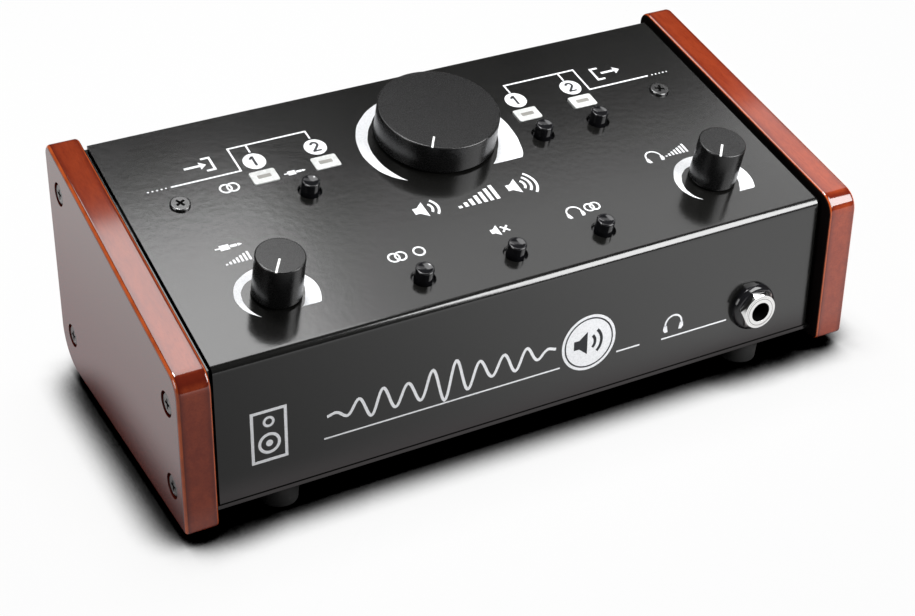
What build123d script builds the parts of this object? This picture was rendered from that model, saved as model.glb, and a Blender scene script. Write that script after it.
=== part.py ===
from build123d import *
from math import cos, radians, sin, tan
import os

os.makedirs("parts", exist_ok=True)

# Studio monitor controller, millimetres.
# X runs left to right, Y from front to back, Z up. The origin is on the table, under the
# middle of the unit's overall width and depth.

# ---- Overall sizes ---------------------------------------------------------------------
unit_width = 235.0
cheek_thickness = 10.6
cheek_behind_rear = 5.38           # cheeks run this far behind the rear panel
cheek_front_height = 51.4
panel_slope = 15.0                 # degrees

foot_height = 7.7
cheek_below_tray = 3.1             # the cheeks hang this far below the tray's floor

# ---- Cheeks ----------------------------------------------------------------------------
cheek_front_top_radius = 7.0
cheek_back_top_radius = 4.0
cheek_back_bottom_radius = 13.0
cheek_front_bottom_radius = 1.6
cheek_edge_radius = 1.3
cheek_screw_front_height = 12.1    # lower screws, above the cheek's bottom edge
cheek_screw_back_height = 13.8
cheek_screw_front_below_panel = 11.65
cheek_screw_back_below_panel = 9.8
cheek_screw_front_setback = 5.0    # behind the face
cheek_screw_back_setback = 6.0     # in front of the rear panel
cheek_counterbore_radius = 3.95
cheek_counterbore_depth = 2.7

# ---- Sheet metal -----------------------------------------------------------------------
cover_thickness = 1.2
cover_bend_radius = 2.9            # outside of the bend
tray_thickness = 1.2
tray_bend_radius = 2.2
face_setback = 4.0                 # face behind the cheeks' front edges
panel_drop = 1.9                   # panel below the cheeks' top edges, square to the panel
panel_length = 102.1               # from the bend's sharp corner to the back edge
cover_side_gap = 0.55              # between the cover's edge and the tray's wall
cover_lower_gap = 0.3              # between the face's lower edge and the tray's floor
tray_lip = 0.3                     # floor stands this far in front of the face
sheet_gap = 0.3

front_tab_width = 16.0
front_tab_height = 9.0
front_tab_spacing = 78.0

# ---- Cover screws ----------------------------------------------------------------------
cover_screw_inset = 19.0           # from the cheek
cover_screw_s = 66.5               # s: distance up the panel from its front corner
cover_tab_length = 18.0
cover_tab_width = 24.0
cover_screw_radius = 1.5
cover_screw_head_radius = 3.3
cover_screw_head_height = 0.9
cover_screw_head_edge_radius = 0.5
cover_screw_cross_depth = 0.6
cover_screw_turns = [29, 62]       # degrees, left and right
cover_screw_length = 7.0
cover_screw_collar_radius = 3.0
cover_screw_collar_height = 2.0

# ---- Common fastener details -----------------------------------------------------------
thread_clearance = 0.05
through_clearance = 0.25
cross_length = 3.4
cross_width = 0.9
cross_depth = 1.1
cheek_screw_radius = 2.0
cheek_screw_head_radius = 3.4
cheek_screw_head_height = 2.4
cheek_screw_head_edge_radius = 0.7
cheek_screw_collar_radius = 3.3
cheek_screw_collar_length = 2.2
cheek_screw_overrun = 1.2

# ---- Feet ------------------------------------------------------------------------------
foot_top_radius = 6.3
foot_bottom_radius = 5.5
foot_edge_radius = 0.8
foot_inset = 23.3                  # from the cheek
foot_front_setback = 6.6           # foot centre behind the face
foot_back_setback = 12.0           # foot centre in front of the rear panel
foot_recess_radius = 3.4
foot_recess_depth = 3.0
foot_screw_radius = 1.5
foot_screw_head_radius = 2.8
foot_screw_head_height = 1.8
foot_screw_overrun = 2.5

# ---- Controls: x across the panel, s up the panel ---------------------------------------
volume_x = 2.8
volume_s = 71.0
aux_inset = 31.2                   # from the left cheek
phones_inset = 28.2                # from the right cheek
small_knob_s = 21.9
front_button_s = 12.4
front_button_x = -0.5
front_button_pitch = 31.7
input_group_x = -47.5
output_group_x = 47.9
channel_pitch = 21.4
back_button_s = 59.3
window_s = 70.1

volume_knob_radius = 20.1
volume_knob_height = 10.6          # top above the panel
small_knob_radius = 7.65
small_knob_height = 14.8
knob_gap = 0.6
knob_draft = 0.6                   # degrees
knob_wall = 1.3
knob_top_thickness = 2.0
knob_hub_radius = 4.4
knob_edge_radius = 0.45
volume_knob_wall = 2.4

pointer_angle = -124.0             # pointer at its lowest setting, degrees from +X
phones_pointer_angle = -130.0
pointer_width = 0.7
pointer_depth = 0.25
volume_pointer_inner = 14.4
small_pointer_inner = 1.4

# ---- Potentiometers --------------------------------------------------------------------
shaft_radius = 3.0
shaft_flat = 1.5                   # flat's distance from the axis
shaft_running_gap = 0.05
shaft_grip_gap = 0.02
bush_radius = 3.5
bush_hole_gap = 0.15
bush_height = 4.2                  # above the panel
pot_nut_flats = 10.0
pot_nut_thickness = 2.0
pot_washer_radius = 5.6
pot_washer_thickness = 0.5
small_pot_radius = 8.0
volume_pot_radius = 10.0
pot_wall = 1.2
wiper_thickness = 2.0
wiper_gap = 0.4

# ---- Boards ----------------------------------------------------------------------------
board_depth = 12.0                 # board's top face below the panel's outside
board_thickness = 1.6
board_front_margin = 5.0
board_back_margin = 9.0
board_side_margin = 12.0
standoff_flats = 5.0
board_screw_radius = 1.25
board_screw_head_radius = 2.3
board_screw_head_height = 1.5
board_screw_length = 6.0
standoff_bore_depth = 7.0
standoff_side_margin = 10.85       # from the board's edge
standoff_back_margin = 6.6         # from the board's back edge
standoff_front_margin = 10.0       # from the board's front edge
standoff_inner_x = 27.0
standoff_front_x = 53.0

# ---- Push buttons ----------------------------------------------------------------------
button_cap_radius = 2.9
button_hole_radius = 3.9           # hole in the panel round the cap
button_cap_height = 4.2            # top above the panel
button_flange_radius = 4.5         # holds the cap under the panel
button_flange_thickness = 1.0
button_flange_gap = 0.4            # between the flange and the panel's underside
button_edge_radius = 0.4
button_dish_radius = 8.0
button_dish_depth = 0.35
button_travel = 2.5
plunger_radius = 1.5
plunger_socket_gap = 0.02
plunger_guide_gap = 0.1
plunger_socket_roof = 2.0          # cap above the plunger's end
plunger_stop = 0.6                 # left under the plunger when the button is down
switch_size = 7.6
switch_gap = 0.9                   # between the pressed cap and the switch
switch_floor = 0.5

# ---- Indicator windows -----------------------------------------------------------------
window_width = 8.75
window_height = 5.8
window_proud = 0.25
window_depth = 3.0
window_flange = 1.0
window_flange_thickness = 0.8
window_clearance = 0.08
light_width = 4.4
light_height = 1.9
light_body_length = 7.0
light_leg = 0.5
light_leg_spacing = 2.54

# ---- Phones jack -----------------------------------------------------------------------
jack_inset = 25.1                  # from the right cheek
jack_height = 18.45                # above the cheeks' bottom edge
jack_bore_radius = 3.25
jack_front = 4.9                   # front end before the face
jack_bush_radius = 4.7
jack_collar_radius = 8.1
jack_collar_thickness = 2.7
jack_collar_edge_radius = 2.0
jack_nut_flats = 12.0
jack_nut_thickness = 2.0
jack_body_width = 15.0
jack_body_height = 15.0
jack_body_depth = 26.0
jack_bore_end = 1.5                # closed end of the plug channel
jack_bush_gap = 0.15
jack_mouth_chamfer = 0.35
jack_nut_turn = 50                 # degrees
jack_nut_rim = 0.87                # cone outside the corners at the collar
jack_nut_taper = 45                # degrees

# ---- Rear panel connectors -------------------------------------------------------------
connector_pitch = 29.5
connector_row_height = 20.0        # centre above the tray's floor underside
upper_row_height = 47.0
connector_depth = 20.0             # from the panel's inside to the rear board
flange_width = 26.0
flange_height = 31.0
flange_thickness = 2.0
flange_corner = 2.5
flange_screw_x = 9.5
flange_screw_z = 12.0
barrel_radius = 11.8
barrel_hole_gap = 0.2
output_socket_radius = 9.3
output_socket_depth = 15.0
pin_radius = 1.2
pin_circle = 3.8
pin_length = 12.0
input_groove_outer = 9.4
input_groove_inner = 7.8
input_groove_depth = 13.0
input_pin_hole_radius = 1.5
input_pin_circle = 5.7
input_pin_start = 30               # degrees, the first of three holes
input_bore_radius = 3.25
input_bore_depth = 21.0
latch_width = 6.0
latch_height = 3.0
latch_thickness = 1.2
latch_gap = 0.8
connector_screw_radius = 1.25
connector_screw_head_radius = 2.4
connector_screw_head_height = 1.4
connector_screw_cross_depth = 0.7
connector_screw_length = 6.5

phono_x = 59.0
phono_pitch = 15.0
phono_barrel_radius = 4.15
phono_bore_radius = 1.7
phono_bore_depth = 9.0
phono_reach = 9.0                  # barrel behind the rear panel's outside
phono_collar_radius = 5.8
phono_collar_thickness = 1.2
phono_body_width = 31.0
phono_body_height = 12.0

power_inlet_x = -38.0
power_inlet_radius = 5.4
power_inlet_flange_radius = 7.0
power_inlet_flange_thickness = 1.5
power_inlet_bore_radius = 2.9
power_inlet_bore_depth = 10.0
power_inlet_pin_radius = 1.0
power_inlet_pin_setback = 1.0

power_switch_x = -68.0
power_frame_width = 21.0
power_frame_height = 15.0
power_frame_thickness = 1.6
power_body_width = 19.0
power_body_height = 12.8
power_body_gap = 0.15
rocker_width = 15.0
rocker_height = 9.6
rocker_gap = 0.3
rocker_tilt = 8.0                  # degrees either side of level
rocker_stand = 3.4                 # ridge end behind the rear panel's outside
rocker_depth = 6.0
rocker_pivot_depth = 3.5           # pivot inside the rear panel's outside
rocker_pin_radius = 1.2
rocker_pin_gap = 0.05
rocker_pin_length = 1.2
rocker_well_gap = 1.0

ribbon_width = 26.0
ribbon_thickness = 1.0
ribbon_x = 8.0
ribbon_header_depth = 5.0
rear_board_floor_gap = 3.5

# ---- Derived places --------------------------------------------------------------------
slope = radians(panel_slope)
half_width = unit_width / 2
cheek_inner_x = half_width - cheek_thickness
tray_inner_x = cheek_inner_x - tray_thickness
cover_half = tray_inner_x - cover_side_gap

rear_setback = face_setback + panel_length * cos(slope)
cheek_depth = rear_setback + cheek_behind_rear
phono_overhang = max(0.0, phono_reach - cheek_behind_rear)
front_y = -(cheek_depth + phono_overhang) / 2
back_y = front_y + cheek_depth
face_y = front_y + face_setback
rear_y = front_y + rear_setback
rear_inner_y = rear_y - tray_thickness

tray_z = foot_height
floor_z = tray_z + tray_thickness
cheek_z = tray_z - cheek_below_tray
cheek_top_z = cheek_z + cheek_front_height
corner_z = cheek_top_z + face_setback * tan(slope) - panel_drop / cos(slope)
cover_bottom_z = floor_z + cover_lower_gap

panel_plane = Plane(
    origin=(0, face_y, corner_z),
    x_dir=(1, 0, 0),
    z_dir=(0, -sin(slope), cos(slope)),
)
face_plane = Plane(origin=(0, face_y, 0), x_dir=(1, 0, 0), z_dir=(0, -1, 0))
rear_plane = Plane(origin=(0, rear_y, 0), x_dir=(-1, 0, 0), z_dir=(0, 1, 0))

jack_x = cheek_inner_x - jack_inset
jack_z = cheek_z + jack_height
connector_z = tray_z + connector_row_height
upper_z = tray_z + upper_row_height

front_buttons = {
    "mono": front_button_x - front_button_pitch,
    "mute": front_button_x,
    "cue": front_button_x + front_button_pitch,
}
output_xs = [output_group_x - channel_pitch / 2, output_group_x + channel_pitch / 2]
input_xs = [input_group_x - channel_pitch / 2, input_group_x + channel_pitch / 2]
button_places = {
    "input_select": (input_group_x, back_button_s),
    "output_1": (output_xs[0], back_button_s),
    "output_2": (output_xs[1], back_button_s),
    "mono": (front_buttons["mono"], front_button_s),
    "mute": (front_buttons["mute"], front_button_s),
    "cue": (front_buttons["cue"], front_button_s),
}
window_places = {
    "input_1_window": (input_xs[0], window_s),
    "input_2_window": (input_xs[1], window_s),
    "output_1_window": (output_xs[0], window_s),
    "output_2_window": (output_xs[1], window_s),
}
knob_places = {
    "volume": (volume_x, volume_s),
    "aux": (aux_inset - cheek_inner_x, small_knob_s),
    "phones": (cheek_inner_x - phones_inset, small_knob_s),
}
knob_radii = {"volume": volume_knob_radius, "aux": small_knob_radius, "phones": small_knob_radius}
knob_heights = {"volume": volume_knob_height, "aux": small_knob_height, "phones": small_knob_height}
knob_walls = {"volume": volume_knob_wall, "aux": knob_wall, "phones": knob_wall}
pointer_inners = {
    "volume": volume_pointer_inner,
    "aux": small_pointer_inner,
    "phones": small_pointer_inner,
}
pointer_angles = {"volume": pointer_angle, "aux": pointer_angle, "phones": phones_pointer_angle}
pot_radii = {"volume": volume_pot_radius, "aux": small_pot_radius, "phones": small_pot_radius}
cover_screw_x = cheek_inner_x - cover_screw_inset
cover_screw_places = [(-cover_screw_x, cover_screw_s), (cover_screw_x, cover_screw_s)]
board_half = cover_half - board_side_margin
board_front_s = board_front_margin
board_back_s = panel_length - board_back_margin
standoff_outer_x = board_half - standoff_side_margin
standoff_back_s = board_back_s - standoff_back_margin
standoff_front_s = board_front_s + standoff_front_margin
standoff_places = [
    (-standoff_outer_x, standoff_back_s),
    (standoff_outer_x, standoff_back_s),
    (-standoff_inner_x, standoff_back_s),
    (standoff_inner_x, standoff_back_s),
    (-standoff_front_x, standoff_front_s),
    (standoff_front_x, standoff_front_s),
]
foot_x = cheek_inner_x - foot_inset
foot_front_y = face_y + foot_front_setback
foot_back_y = rear_y - foot_back_setback
foot_places = {
    "front_left_foot": (-foot_x, foot_front_y),
    "front_right_foot": (foot_x, foot_front_y),
    "rear_left_foot": (-foot_x, foot_back_y),
    "rear_right_foot": (foot_x, foot_back_y),
}
# Seen from behind, the rear plane's own X runs from the unit's right to its left.
connector_xs = [connector_pitch * (i - 2.5) for i in range(6)]
input_connector_xs = connector_xs[:2]
output_connector_xs = connector_xs[2:]
phono_xs = [-phono_x - phono_pitch / 2, -phono_x + phono_pitch / 2]
flange_screws = [(flange_screw_x, -flange_screw_z), (-flange_screw_x, flange_screw_z)]


def panel_z(y, below=0.0):
    """Height of the panel's outside at y, or of a plane that lies below it."""
    return corner_z + (y - face_y) * tan(slope) - below / cos(slope)


screw_front_y = face_y + cheek_screw_front_setback
screw_back_y = rear_y - cheek_screw_back_setback
cheek_screw_places = [
    (screw_front_y, cheek_z + cheek_screw_front_height),
    (screw_front_y, panel_z(screw_front_y) - cheek_screw_front_below_panel),
    (screw_back_y, cheek_z + cheek_screw_back_height),
    (screw_back_y, panel_z(screw_back_y) - cheek_screw_back_below_panel),
]


def keep(piece, name):
    piece.part.label = name
    export_step(piece.part, f"parts/{name}.step")


# ---- Wooden cheeks ---------------------------------------------------------------------
def make_cheek(side):
    inner = Plane(origin=(side * cheek_inner_x, 0, 0), x_dir=(0, 1, 0), z_dir=(1, 0, 0))
    outer = Plane(origin=(side * half_width, 0, 0), x_dir=(0, 1, 0), z_dir=(1, 0, 0))
    corners = {
        (front_y, cheek_z): cheek_front_bottom_radius,
        (back_y, cheek_z): cheek_back_bottom_radius,
        (back_y, cheek_top_z + cheek_depth * tan(slope)): cheek_back_top_radius,
        (front_y, cheek_top_z): cheek_front_top_radius,
    }
    with BuildPart() as cheek:
        with BuildSketch(inner) as outline:
            with BuildLine():
                Polyline(*corners, close=True)
            make_face()
            for (y, z), radius in corners.items():
                fillet(outline.vertices().sort_by_distance((y, z, 0))[0], radius)
        extrude(amount=side * cheek_thickness)
        fillet(cheek.faces().filter_by(Axis.X).edges(), cheek_edge_radius)
        with BuildSketch(outer):
            with Locations(cheek_screw_places):
                Circle(cheek_counterbore_radius)
        extrude(amount=-side * cheek_counterbore_depth, mode=Mode.SUBTRACT)
        with BuildSketch(outer):
            with Locations(cheek_screw_places):
                Circle(cheek_screw_radius + through_clearance)
        extrude(amount=-side * cheek_thickness, mode=Mode.SUBTRACT)
    return cheek


keep(make_cheek(-1), "left_cheek")
keep(make_cheek(1), "right_cheek")

with BuildPart() as cheek_screws:
    for side in (-1, 1):
        seat_x = side * (half_width - cheek_counterbore_depth)
        seat = Plane(origin=(seat_x, 0, 0), x_dir=(0, 1, 0), z_dir=(1, 0, 0))
        head_end = seat.offset(side * cheek_screw_head_height)
        shank = cheek_thickness - cheek_counterbore_depth + tray_thickness
        shank += cheek_screw_collar_length + cheek_screw_overrun
        with BuildSketch(seat):
            with Locations(cheek_screw_places):
                Circle(cheek_screw_head_radius)
        extrude(amount=side * cheek_screw_head_height)
        outer_faces = cheek_screws.faces().filter_by(Axis.X).group_by(Axis.X)[-1 if side > 0 else 0]
        fillet(outer_faces.edges(), cheek_screw_head_edge_radius)
        with BuildSketch(seat):
            with Locations(cheek_screw_places):
                Circle(cheek_screw_radius)
        extrude(amount=-side * shank)
        with BuildSketch(head_end):
            with Locations(cheek_screw_places):
                Rectangle(cross_length, cross_width)
                Rectangle(cross_width, cross_length)
        extrude(amount=-side * cross_depth, mode=Mode.SUBTRACT)
keep(cheek_screws, "cheek_screws")

# ---- Top cover: face and panel, bent from one sheet --------------------------------------
panel_back = panel_plane.from_local_coords((0, panel_length, 0))
panel_back_inner = panel_plane.from_local_coords((0, panel_length, -cover_thickness))
inner_corner_y = face_y + cover_thickness
inner_corner_z = panel_z(inner_corner_y, cover_thickness)

with BuildPart() as top_cover:
    with BuildSketch(Plane.YZ.offset(-cover_half)) as section:
        with BuildLine():
            Polyline(
                (face_y, cover_bottom_z),
                (face_y, corner_z),
                (panel_back.Y, panel_back.Z),
                (panel_back_inner.Y, panel_back_inner.Z),
                (inner_corner_y, inner_corner_z),
                (inner_corner_y, cover_bottom_z),
                close=True,
            )
        make_face()
        outer_corner = section.vertices().sort_by_distance((face_y, corner_z, 0))[0]
        fillet(outer_corner, cover_bend_radius)
        inner_corner = (inner_corner_y, inner_corner_z, 0)
        inner_vertex = section.vertices().sort_by_distance(inner_corner)[0]
        fillet(inner_vertex, cover_bend_radius - cover_thickness)
    extrude(amount=2 * cover_half)
    with BuildSketch(panel_plane):
        with Locations(list(knob_places.values())):
            Circle(bush_radius + bush_hole_gap)
        with Locations(list(button_places.values())):
            Circle(button_hole_radius)
        with Locations(list(window_places.values())):
            Rectangle(window_width + 2 * window_clearance, window_height + 2 * window_clearance)
        with Locations(cover_screw_places):
            Circle(cover_screw_radius + through_clearance)
    extrude(amount=-cover_thickness, mode=Mode.SUBTRACT)
    with BuildSketch(face_plane):
        with Locations((jack_x, jack_z)):
            Circle(jack_bush_radius + jack_bush_gap)
    extrude(amount=-cover_thickness, mode=Mode.SUBTRACT)
keep(top_cover, "top_cover")

# ---- Base tray: floor, side walls, rear panel and tabs -----------------------------------
wall_front_y = inner_corner_y + sheet_gap
rear_top_z = panel_z(rear_inner_y, cover_thickness)
tab_centre_x = tray_inner_x - cover_tab_width / 2

with BuildPart() as base_tray:
    with BuildSketch(Plane.YZ.offset(-cheek_inner_x)) as side_outline:
        with BuildLine():
            Polyline(
                (wall_front_y, tray_z),
                (rear_y, tray_z),
                (rear_y, panel_z(rear_y, cover_thickness)),
                (wall_front_y, panel_z(wall_front_y, cover_thickness)),
                close=True,
            )
        make_face()
    extrude(amount=2 * cheek_inner_x)
    lower_edges = base_tray.edges().filter_by(Axis.X).group_by(Axis.Z)[0]
    fillet(lower_edges.sort_by(Axis.Y)[-1], tray_bend_radius)
    with BuildSketch(Plane.YZ.offset(-tray_inner_x)):
        with BuildLine():
            Polyline(
                (wall_front_y, floor_z),
                (rear_inner_y, floor_z),
                (rear_inner_y, rear_top_z),
                (wall_front_y, panel_z(wall_front_y, cover_thickness)),
                close=True,
            )
        make_face()
    extrude(amount=2 * tray_inner_x, mode=Mode.SUBTRACT)
    # Floor runs on to the front and stands just proud of the face.
    with Locations((0, (face_y - tray_lip + wall_front_y) / 2, tray_z + tray_thickness / 2)):
        Box(2 * cheek_inner_x, wall_front_y - face_y + tray_lip, tray_thickness)
    # Tabs behind the face.
    with Locations(
        *[
            (x, wall_front_y + tray_thickness / 2, floor_z + front_tab_height / 2)
            for x in (-front_tab_spacing / 2, front_tab_spacing / 2)
        ]
    ):
        Box(front_tab_width, tray_thickness, front_tab_height)
    # Tabs under the panel, bent in from the side walls, with drawn collars for the screws.
    for side in (-1, 1):
        with BuildSketch(panel_plane.offset(-cover_thickness)):
            with Locations((side * tab_centre_x, cover_screw_s)):
                Rectangle(cover_tab_width, cover_tab_length)
        extrude(amount=-tray_thickness)
        with BuildSketch(panel_plane.offset(-cover_thickness)):
            with Locations((side * cover_screw_x, cover_screw_s)):
                Circle(cover_screw_collar_radius)
        extrude(amount=-tray_thickness - cover_screw_collar_height)
    with BuildSketch(panel_plane.offset(-cover_thickness)):
        with Locations(cover_screw_places):
            Circle(cover_screw_radius + thread_clearance)
    extrude(amount=-tray_thickness - cover_screw_collar_height, mode=Mode.SUBTRACT)
    # Drawn collars for the cheek screws.
    for side in (-1, 1):
        wall = Plane(origin=(side * cheek_inner_x, 0, 0), x_dir=(0, 1, 0), z_dir=(1, 0, 0))
        reach = tray_thickness + cheek_screw_collar_length
        with BuildSketch(wall):
            with Locations(cheek_screw_places):
                Circle(cheek_screw_collar_radius)
        extrude(amount=-side * reach)
        with BuildSketch(wall):
            with Locations(cheek_screw_places):
                Circle(cheek_screw_radius + thread_clearance)
        extrude(amount=-side * reach, mode=Mode.SUBTRACT)
    # Foot screw holes.
    with BuildSketch(Plane.XY.offset(tray_z)):
        with Locations(list(foot_places.values())):
            Circle(foot_screw_radius + thread_clearance)
    extrude(amount=tray_thickness, mode=Mode.SUBTRACT)
    # Rear panel cut-outs.
    with BuildSketch(rear_plane):
        with Locations([(x, connector_z) for x in connector_xs]):
            Circle(barrel_radius + barrel_hole_gap)
        with Locations(
            [(x + dx, connector_z + dz) for x in connector_xs for dx, dz in flange_screws]
        ):
            Circle(connector_screw_radius + thread_clearance)
        with Locations([(x, upper_z) for x in phono_xs]):
            Circle(phono_barrel_radius + barrel_hole_gap)
        with Locations((-power_inlet_x, upper_z)):
            Circle(power_inlet_radius + barrel_hole_gap)
        with Locations((-power_switch_x, upper_z)):
            Rectangle(power_body_width + 2 * power_body_gap, power_body_height + 2 * power_body_gap)
    extrude(amount=-tray_thickness, mode=Mode.SUBTRACT)
keep(base_tray, "base_tray")

# ---- Cover screws ------------------------------------------------------------------------
with BuildPart() as cover_screws:
    with BuildSketch(panel_plane):
        with Locations(cover_screw_places):
            Circle(cover_screw_head_radius)
    extrude(amount=cover_screw_head_height)
    head_tops = cover_screws.faces().group_by(Axis(panel_plane.origin, panel_plane.z_dir))[-1]
    fillet(head_tops.edges(), cover_screw_head_edge_radius)
    with BuildSketch(panel_plane):
        with Locations(cover_screw_places):
            Circle(cover_screw_radius)
    extrude(amount=-cover_screw_length)
    with BuildSketch(panel_plane.offset(cover_screw_head_height)):
        for (x, s), turn in zip(cover_screw_places, cover_screw_turns):
            with Locations(Location((x, s, 0), (0, 0, turn))):
                Rectangle(cross_length, cross_width)
                Rectangle(cross_width, cross_length)
    extrude(amount=-cover_screw_cross_depth, mode=Mode.SUBTRACT)
keep(cover_screws, "cover_screws")

# ---- Feet ----------------------------------------------------------------------------------
for name, (x, y) in foot_places.items():
    with BuildPart() as foot:
        with BuildSketch(Plane.XY):
            with Locations((x, y)):
                Circle(foot_bottom_radius)
        with BuildSketch(Plane.XY.offset(foot_height)):
            with Locations((x, y)):
                Circle(foot_top_radius)
        loft()
        fillet(foot.edges().sort_by(Axis.Z)[0], foot_edge_radius)
        with BuildSketch(Plane.XY):
            with Locations((x, y)):
                Circle(foot_recess_radius)
        extrude(amount=foot_recess_depth, mode=Mode.SUBTRACT)
        with BuildSketch(Plane.XY):
            with Locations((x, y)):
                Circle(foot_screw_radius + through_clearance)
        extrude(amount=foot_height, mode=Mode.SUBTRACT)
    keep(foot, name)

with BuildPart() as foot_screws:
    with BuildSketch(Plane.XY.offset(foot_recess_depth - foot_screw_head_height)):
        with Locations(list(foot_places.values())):
            Circle(foot_screw_head_radius)
    extrude(amount=foot_screw_head_height)
    with BuildSketch(Plane.XY.offset(foot_recess_depth)):
        with Locations(list(foot_places.values())):
            Circle(foot_screw_radius)
    extrude(amount=foot_height - foot_recess_depth + tray_thickness + foot_screw_overrun)
    with BuildSketch(Plane.XY.offset(foot_recess_depth - foot_screw_head_height)):
        with Locations(list(foot_places.values())):
            Rectangle(cross_length, cross_width)
            Rectangle(cross_width, cross_length)
    extrude(amount=cross_depth, mode=Mode.SUBTRACT)
keep(foot_screws, "foot_screws")

# ---- Knobs, shafts and potentiometers --------------------------------------------------------
pot_top = -cover_thickness
pot_length = board_depth - cover_thickness
wiper_top = pot_top - pot_wall - wiper_gap
nut_top = pot_washer_thickness + pot_nut_thickness
hub_bottom = max(nut_top, bush_height) + knob_gap


def shaft_section(radius, flat):
    """Round shaft section with one flat, in the open sketch."""
    Circle(radius)
    with Locations((0, flat + radius)):
        Rectangle(2 * radius, 2 * radius, mode=Mode.SUBTRACT)


for name, place in knob_places.items():
    radius = knob_radii[name]
    height = knob_heights[name]
    axis_plane = Plane(
        origin=panel_plane.from_local_coords((place[0], place[1], 0)),
        x_dir=(1, 0, 0),
        z_dir=panel_plane.z_dir,
    )
    with BuildPart() as knob:
        with BuildSketch(axis_plane.offset(knob_gap)):
            Circle(radius)
        extrude(amount=height - knob_gap, taper=knob_draft)
        rims = knob.edges().filter_by(GeomType.CIRCLE)
        fillet(rims, knob_edge_radius)
        hollow_radius = radius - knob_walls[name]
        with BuildSketch(axis_plane.offset(knob_gap)):
            Circle(hollow_radius)
        extrude(amount=height - knob_top_thickness - knob_gap, mode=Mode.SUBTRACT)
        with BuildSketch(axis_plane.offset(hub_bottom)):
            Circle(knob_hub_radius)
        extrude(amount=height - knob_top_thickness - hub_bottom)
        with BuildSketch(axis_plane.offset(hub_bottom)):
            shaft_section(shaft_radius + shaft_grip_gap, shaft_flat + shaft_grip_gap)
        extrude(amount=height - knob_top_thickness - hub_bottom, mode=Mode.SUBTRACT)
        pointer_length = radius - pointer_inners[name]
        with BuildSketch(axis_plane.offset(height)):
            with Locations(Location((0, 0, 0), (0, 0, pointer_angles[name]))):
                with Locations((pointer_inners[name] + pointer_length / 2, 0)):
                    Rectangle(pointer_length, pointer_width)
        extrude(amount=-pointer_depth, mode=Mode.SUBTRACT)
    keep(knob, f"{name}_knob")

    with BuildPart() as shaft:
        with BuildSketch(axis_plane.offset(wiper_top)):
            shaft_section(shaft_radius, shaft_flat)
        extrude(amount=height - knob_top_thickness - knob_gap - wiper_top)
        with BuildSketch(axis_plane.offset(wiper_top - wiper_thickness)):
            Circle(pot_radii[name] - pot_wall - wiper_gap)
        extrude(amount=wiper_thickness)
    keep(shaft, f"{name}_shaft")

    with BuildPart() as pot:
        with BuildSketch(axis_plane.offset(-board_depth)):
            Circle(pot_radii[name])
        extrude(amount=pot_length)
        with BuildSketch(axis_plane.offset(pot_top)):
            Circle(bush_radius)
        extrude(amount=bush_height - pot_top)
        with BuildSketch(axis_plane.offset(pot_top - pot_wall)):
            Circle(pot_radii[name] - pot_wall)
        extrude(amount=-wiper_thickness - 2 * wiper_gap, mode=Mode.SUBTRACT)
        with BuildSketch(axis_plane.offset(bush_height)):
            Circle(shaft_radius + shaft_running_gap)
        extrude(amount=pot_top - pot_wall - bush_height, mode=Mode.SUBTRACT)
    keep(pot, f"{name}_pot")

with BuildPart() as pot_washers:
    with BuildSketch(panel_plane):
        with Locations(list(knob_places.values())):
            Circle(pot_washer_radius)
            Circle(bush_radius + bush_hole_gap, mode=Mode.SUBTRACT)
    extrude(amount=pot_washer_thickness)
keep(pot_washers, "pot_washers")

with BuildPart() as pot_nuts:
    with BuildSketch(panel_plane.offset(pot_washer_thickness)):
        with Locations(list(knob_places.values())):
            RegularPolygon(pot_nut_flats / 2, 6, major_radius=False)
            Circle(bush_radius + thread_clearance, mode=Mode.SUBTRACT)
    extrude(amount=pot_nut_thickness)
keep(pot_nuts, "pot_nuts")

# ---- Push buttons and switches ---------------------------------------------------------------
cap_bottom = -cover_thickness - button_flange_gap - button_flange_thickness
plunger_top = button_cap_height - plunger_socket_roof
switch_top = cap_bottom - button_travel - switch_gap
bore_floor = -board_depth + switch_floor
plunger_bottom = bore_floor + plunger_stop + button_travel

for name, place in button_places.items():
    axis_plane = Plane(
        origin=panel_plane.from_local_coords((place[0], place[1], 0)),
        x_dir=(1, 0, 0),
        z_dir=panel_plane.z_dir,
    )
    with BuildPart() as cap:
        with BuildSketch(axis_plane.offset(cap_bottom)):
            Circle(button_cap_radius)
        extrude(amount=button_cap_height - cap_bottom)
        top_edge = cap.faces().sort_by(Axis(axis_plane.origin, axis_plane.z_dir))[-1].edges()
        fillet(top_edge, button_edge_radius)
        with Locations(axis_plane.offset(button_cap_height + button_dish_radius - button_dish_depth)):
            Sphere(button_dish_radius, mode=Mode.SUBTRACT)
        with BuildSketch(axis_plane.offset(cap_bottom)):
            Circle(button_flange_radius)
        extrude(amount=button_flange_thickness)
        with BuildSketch(axis_plane.offset(cap_bottom)):
            Circle(plunger_radius + plunger_socket_gap)
        extrude(amount=plunger_top - cap_bottom, mode=Mode.SUBTRACT)
    keep(cap, f"{name}_button")

    with BuildPart() as plunger:
        with BuildSketch(axis_plane.offset(plunger_bottom)):
            Circle(plunger_radius)
        extrude(amount=plunger_top - plunger_bottom)
    keep(plunger, f"{name}_plunger")

with BuildPart() as switch_bodies:
    with BuildSketch(panel_plane.offset(-board_depth)):
        with Locations(list(button_places.values())):
            Rectangle(switch_size, switch_size)
    extrude(amount=switch_top + board_depth)
    with BuildSketch(panel_plane.offset(bore_floor)):
        with Locations(list(button_places.values())):
            Circle(plunger_radius + plunger_guide_gap)
    extrude(amount=switch_top - bore_floor, mode=Mode.SUBTRACT)
keep(switch_bodies, "switch_bodies")

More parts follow.
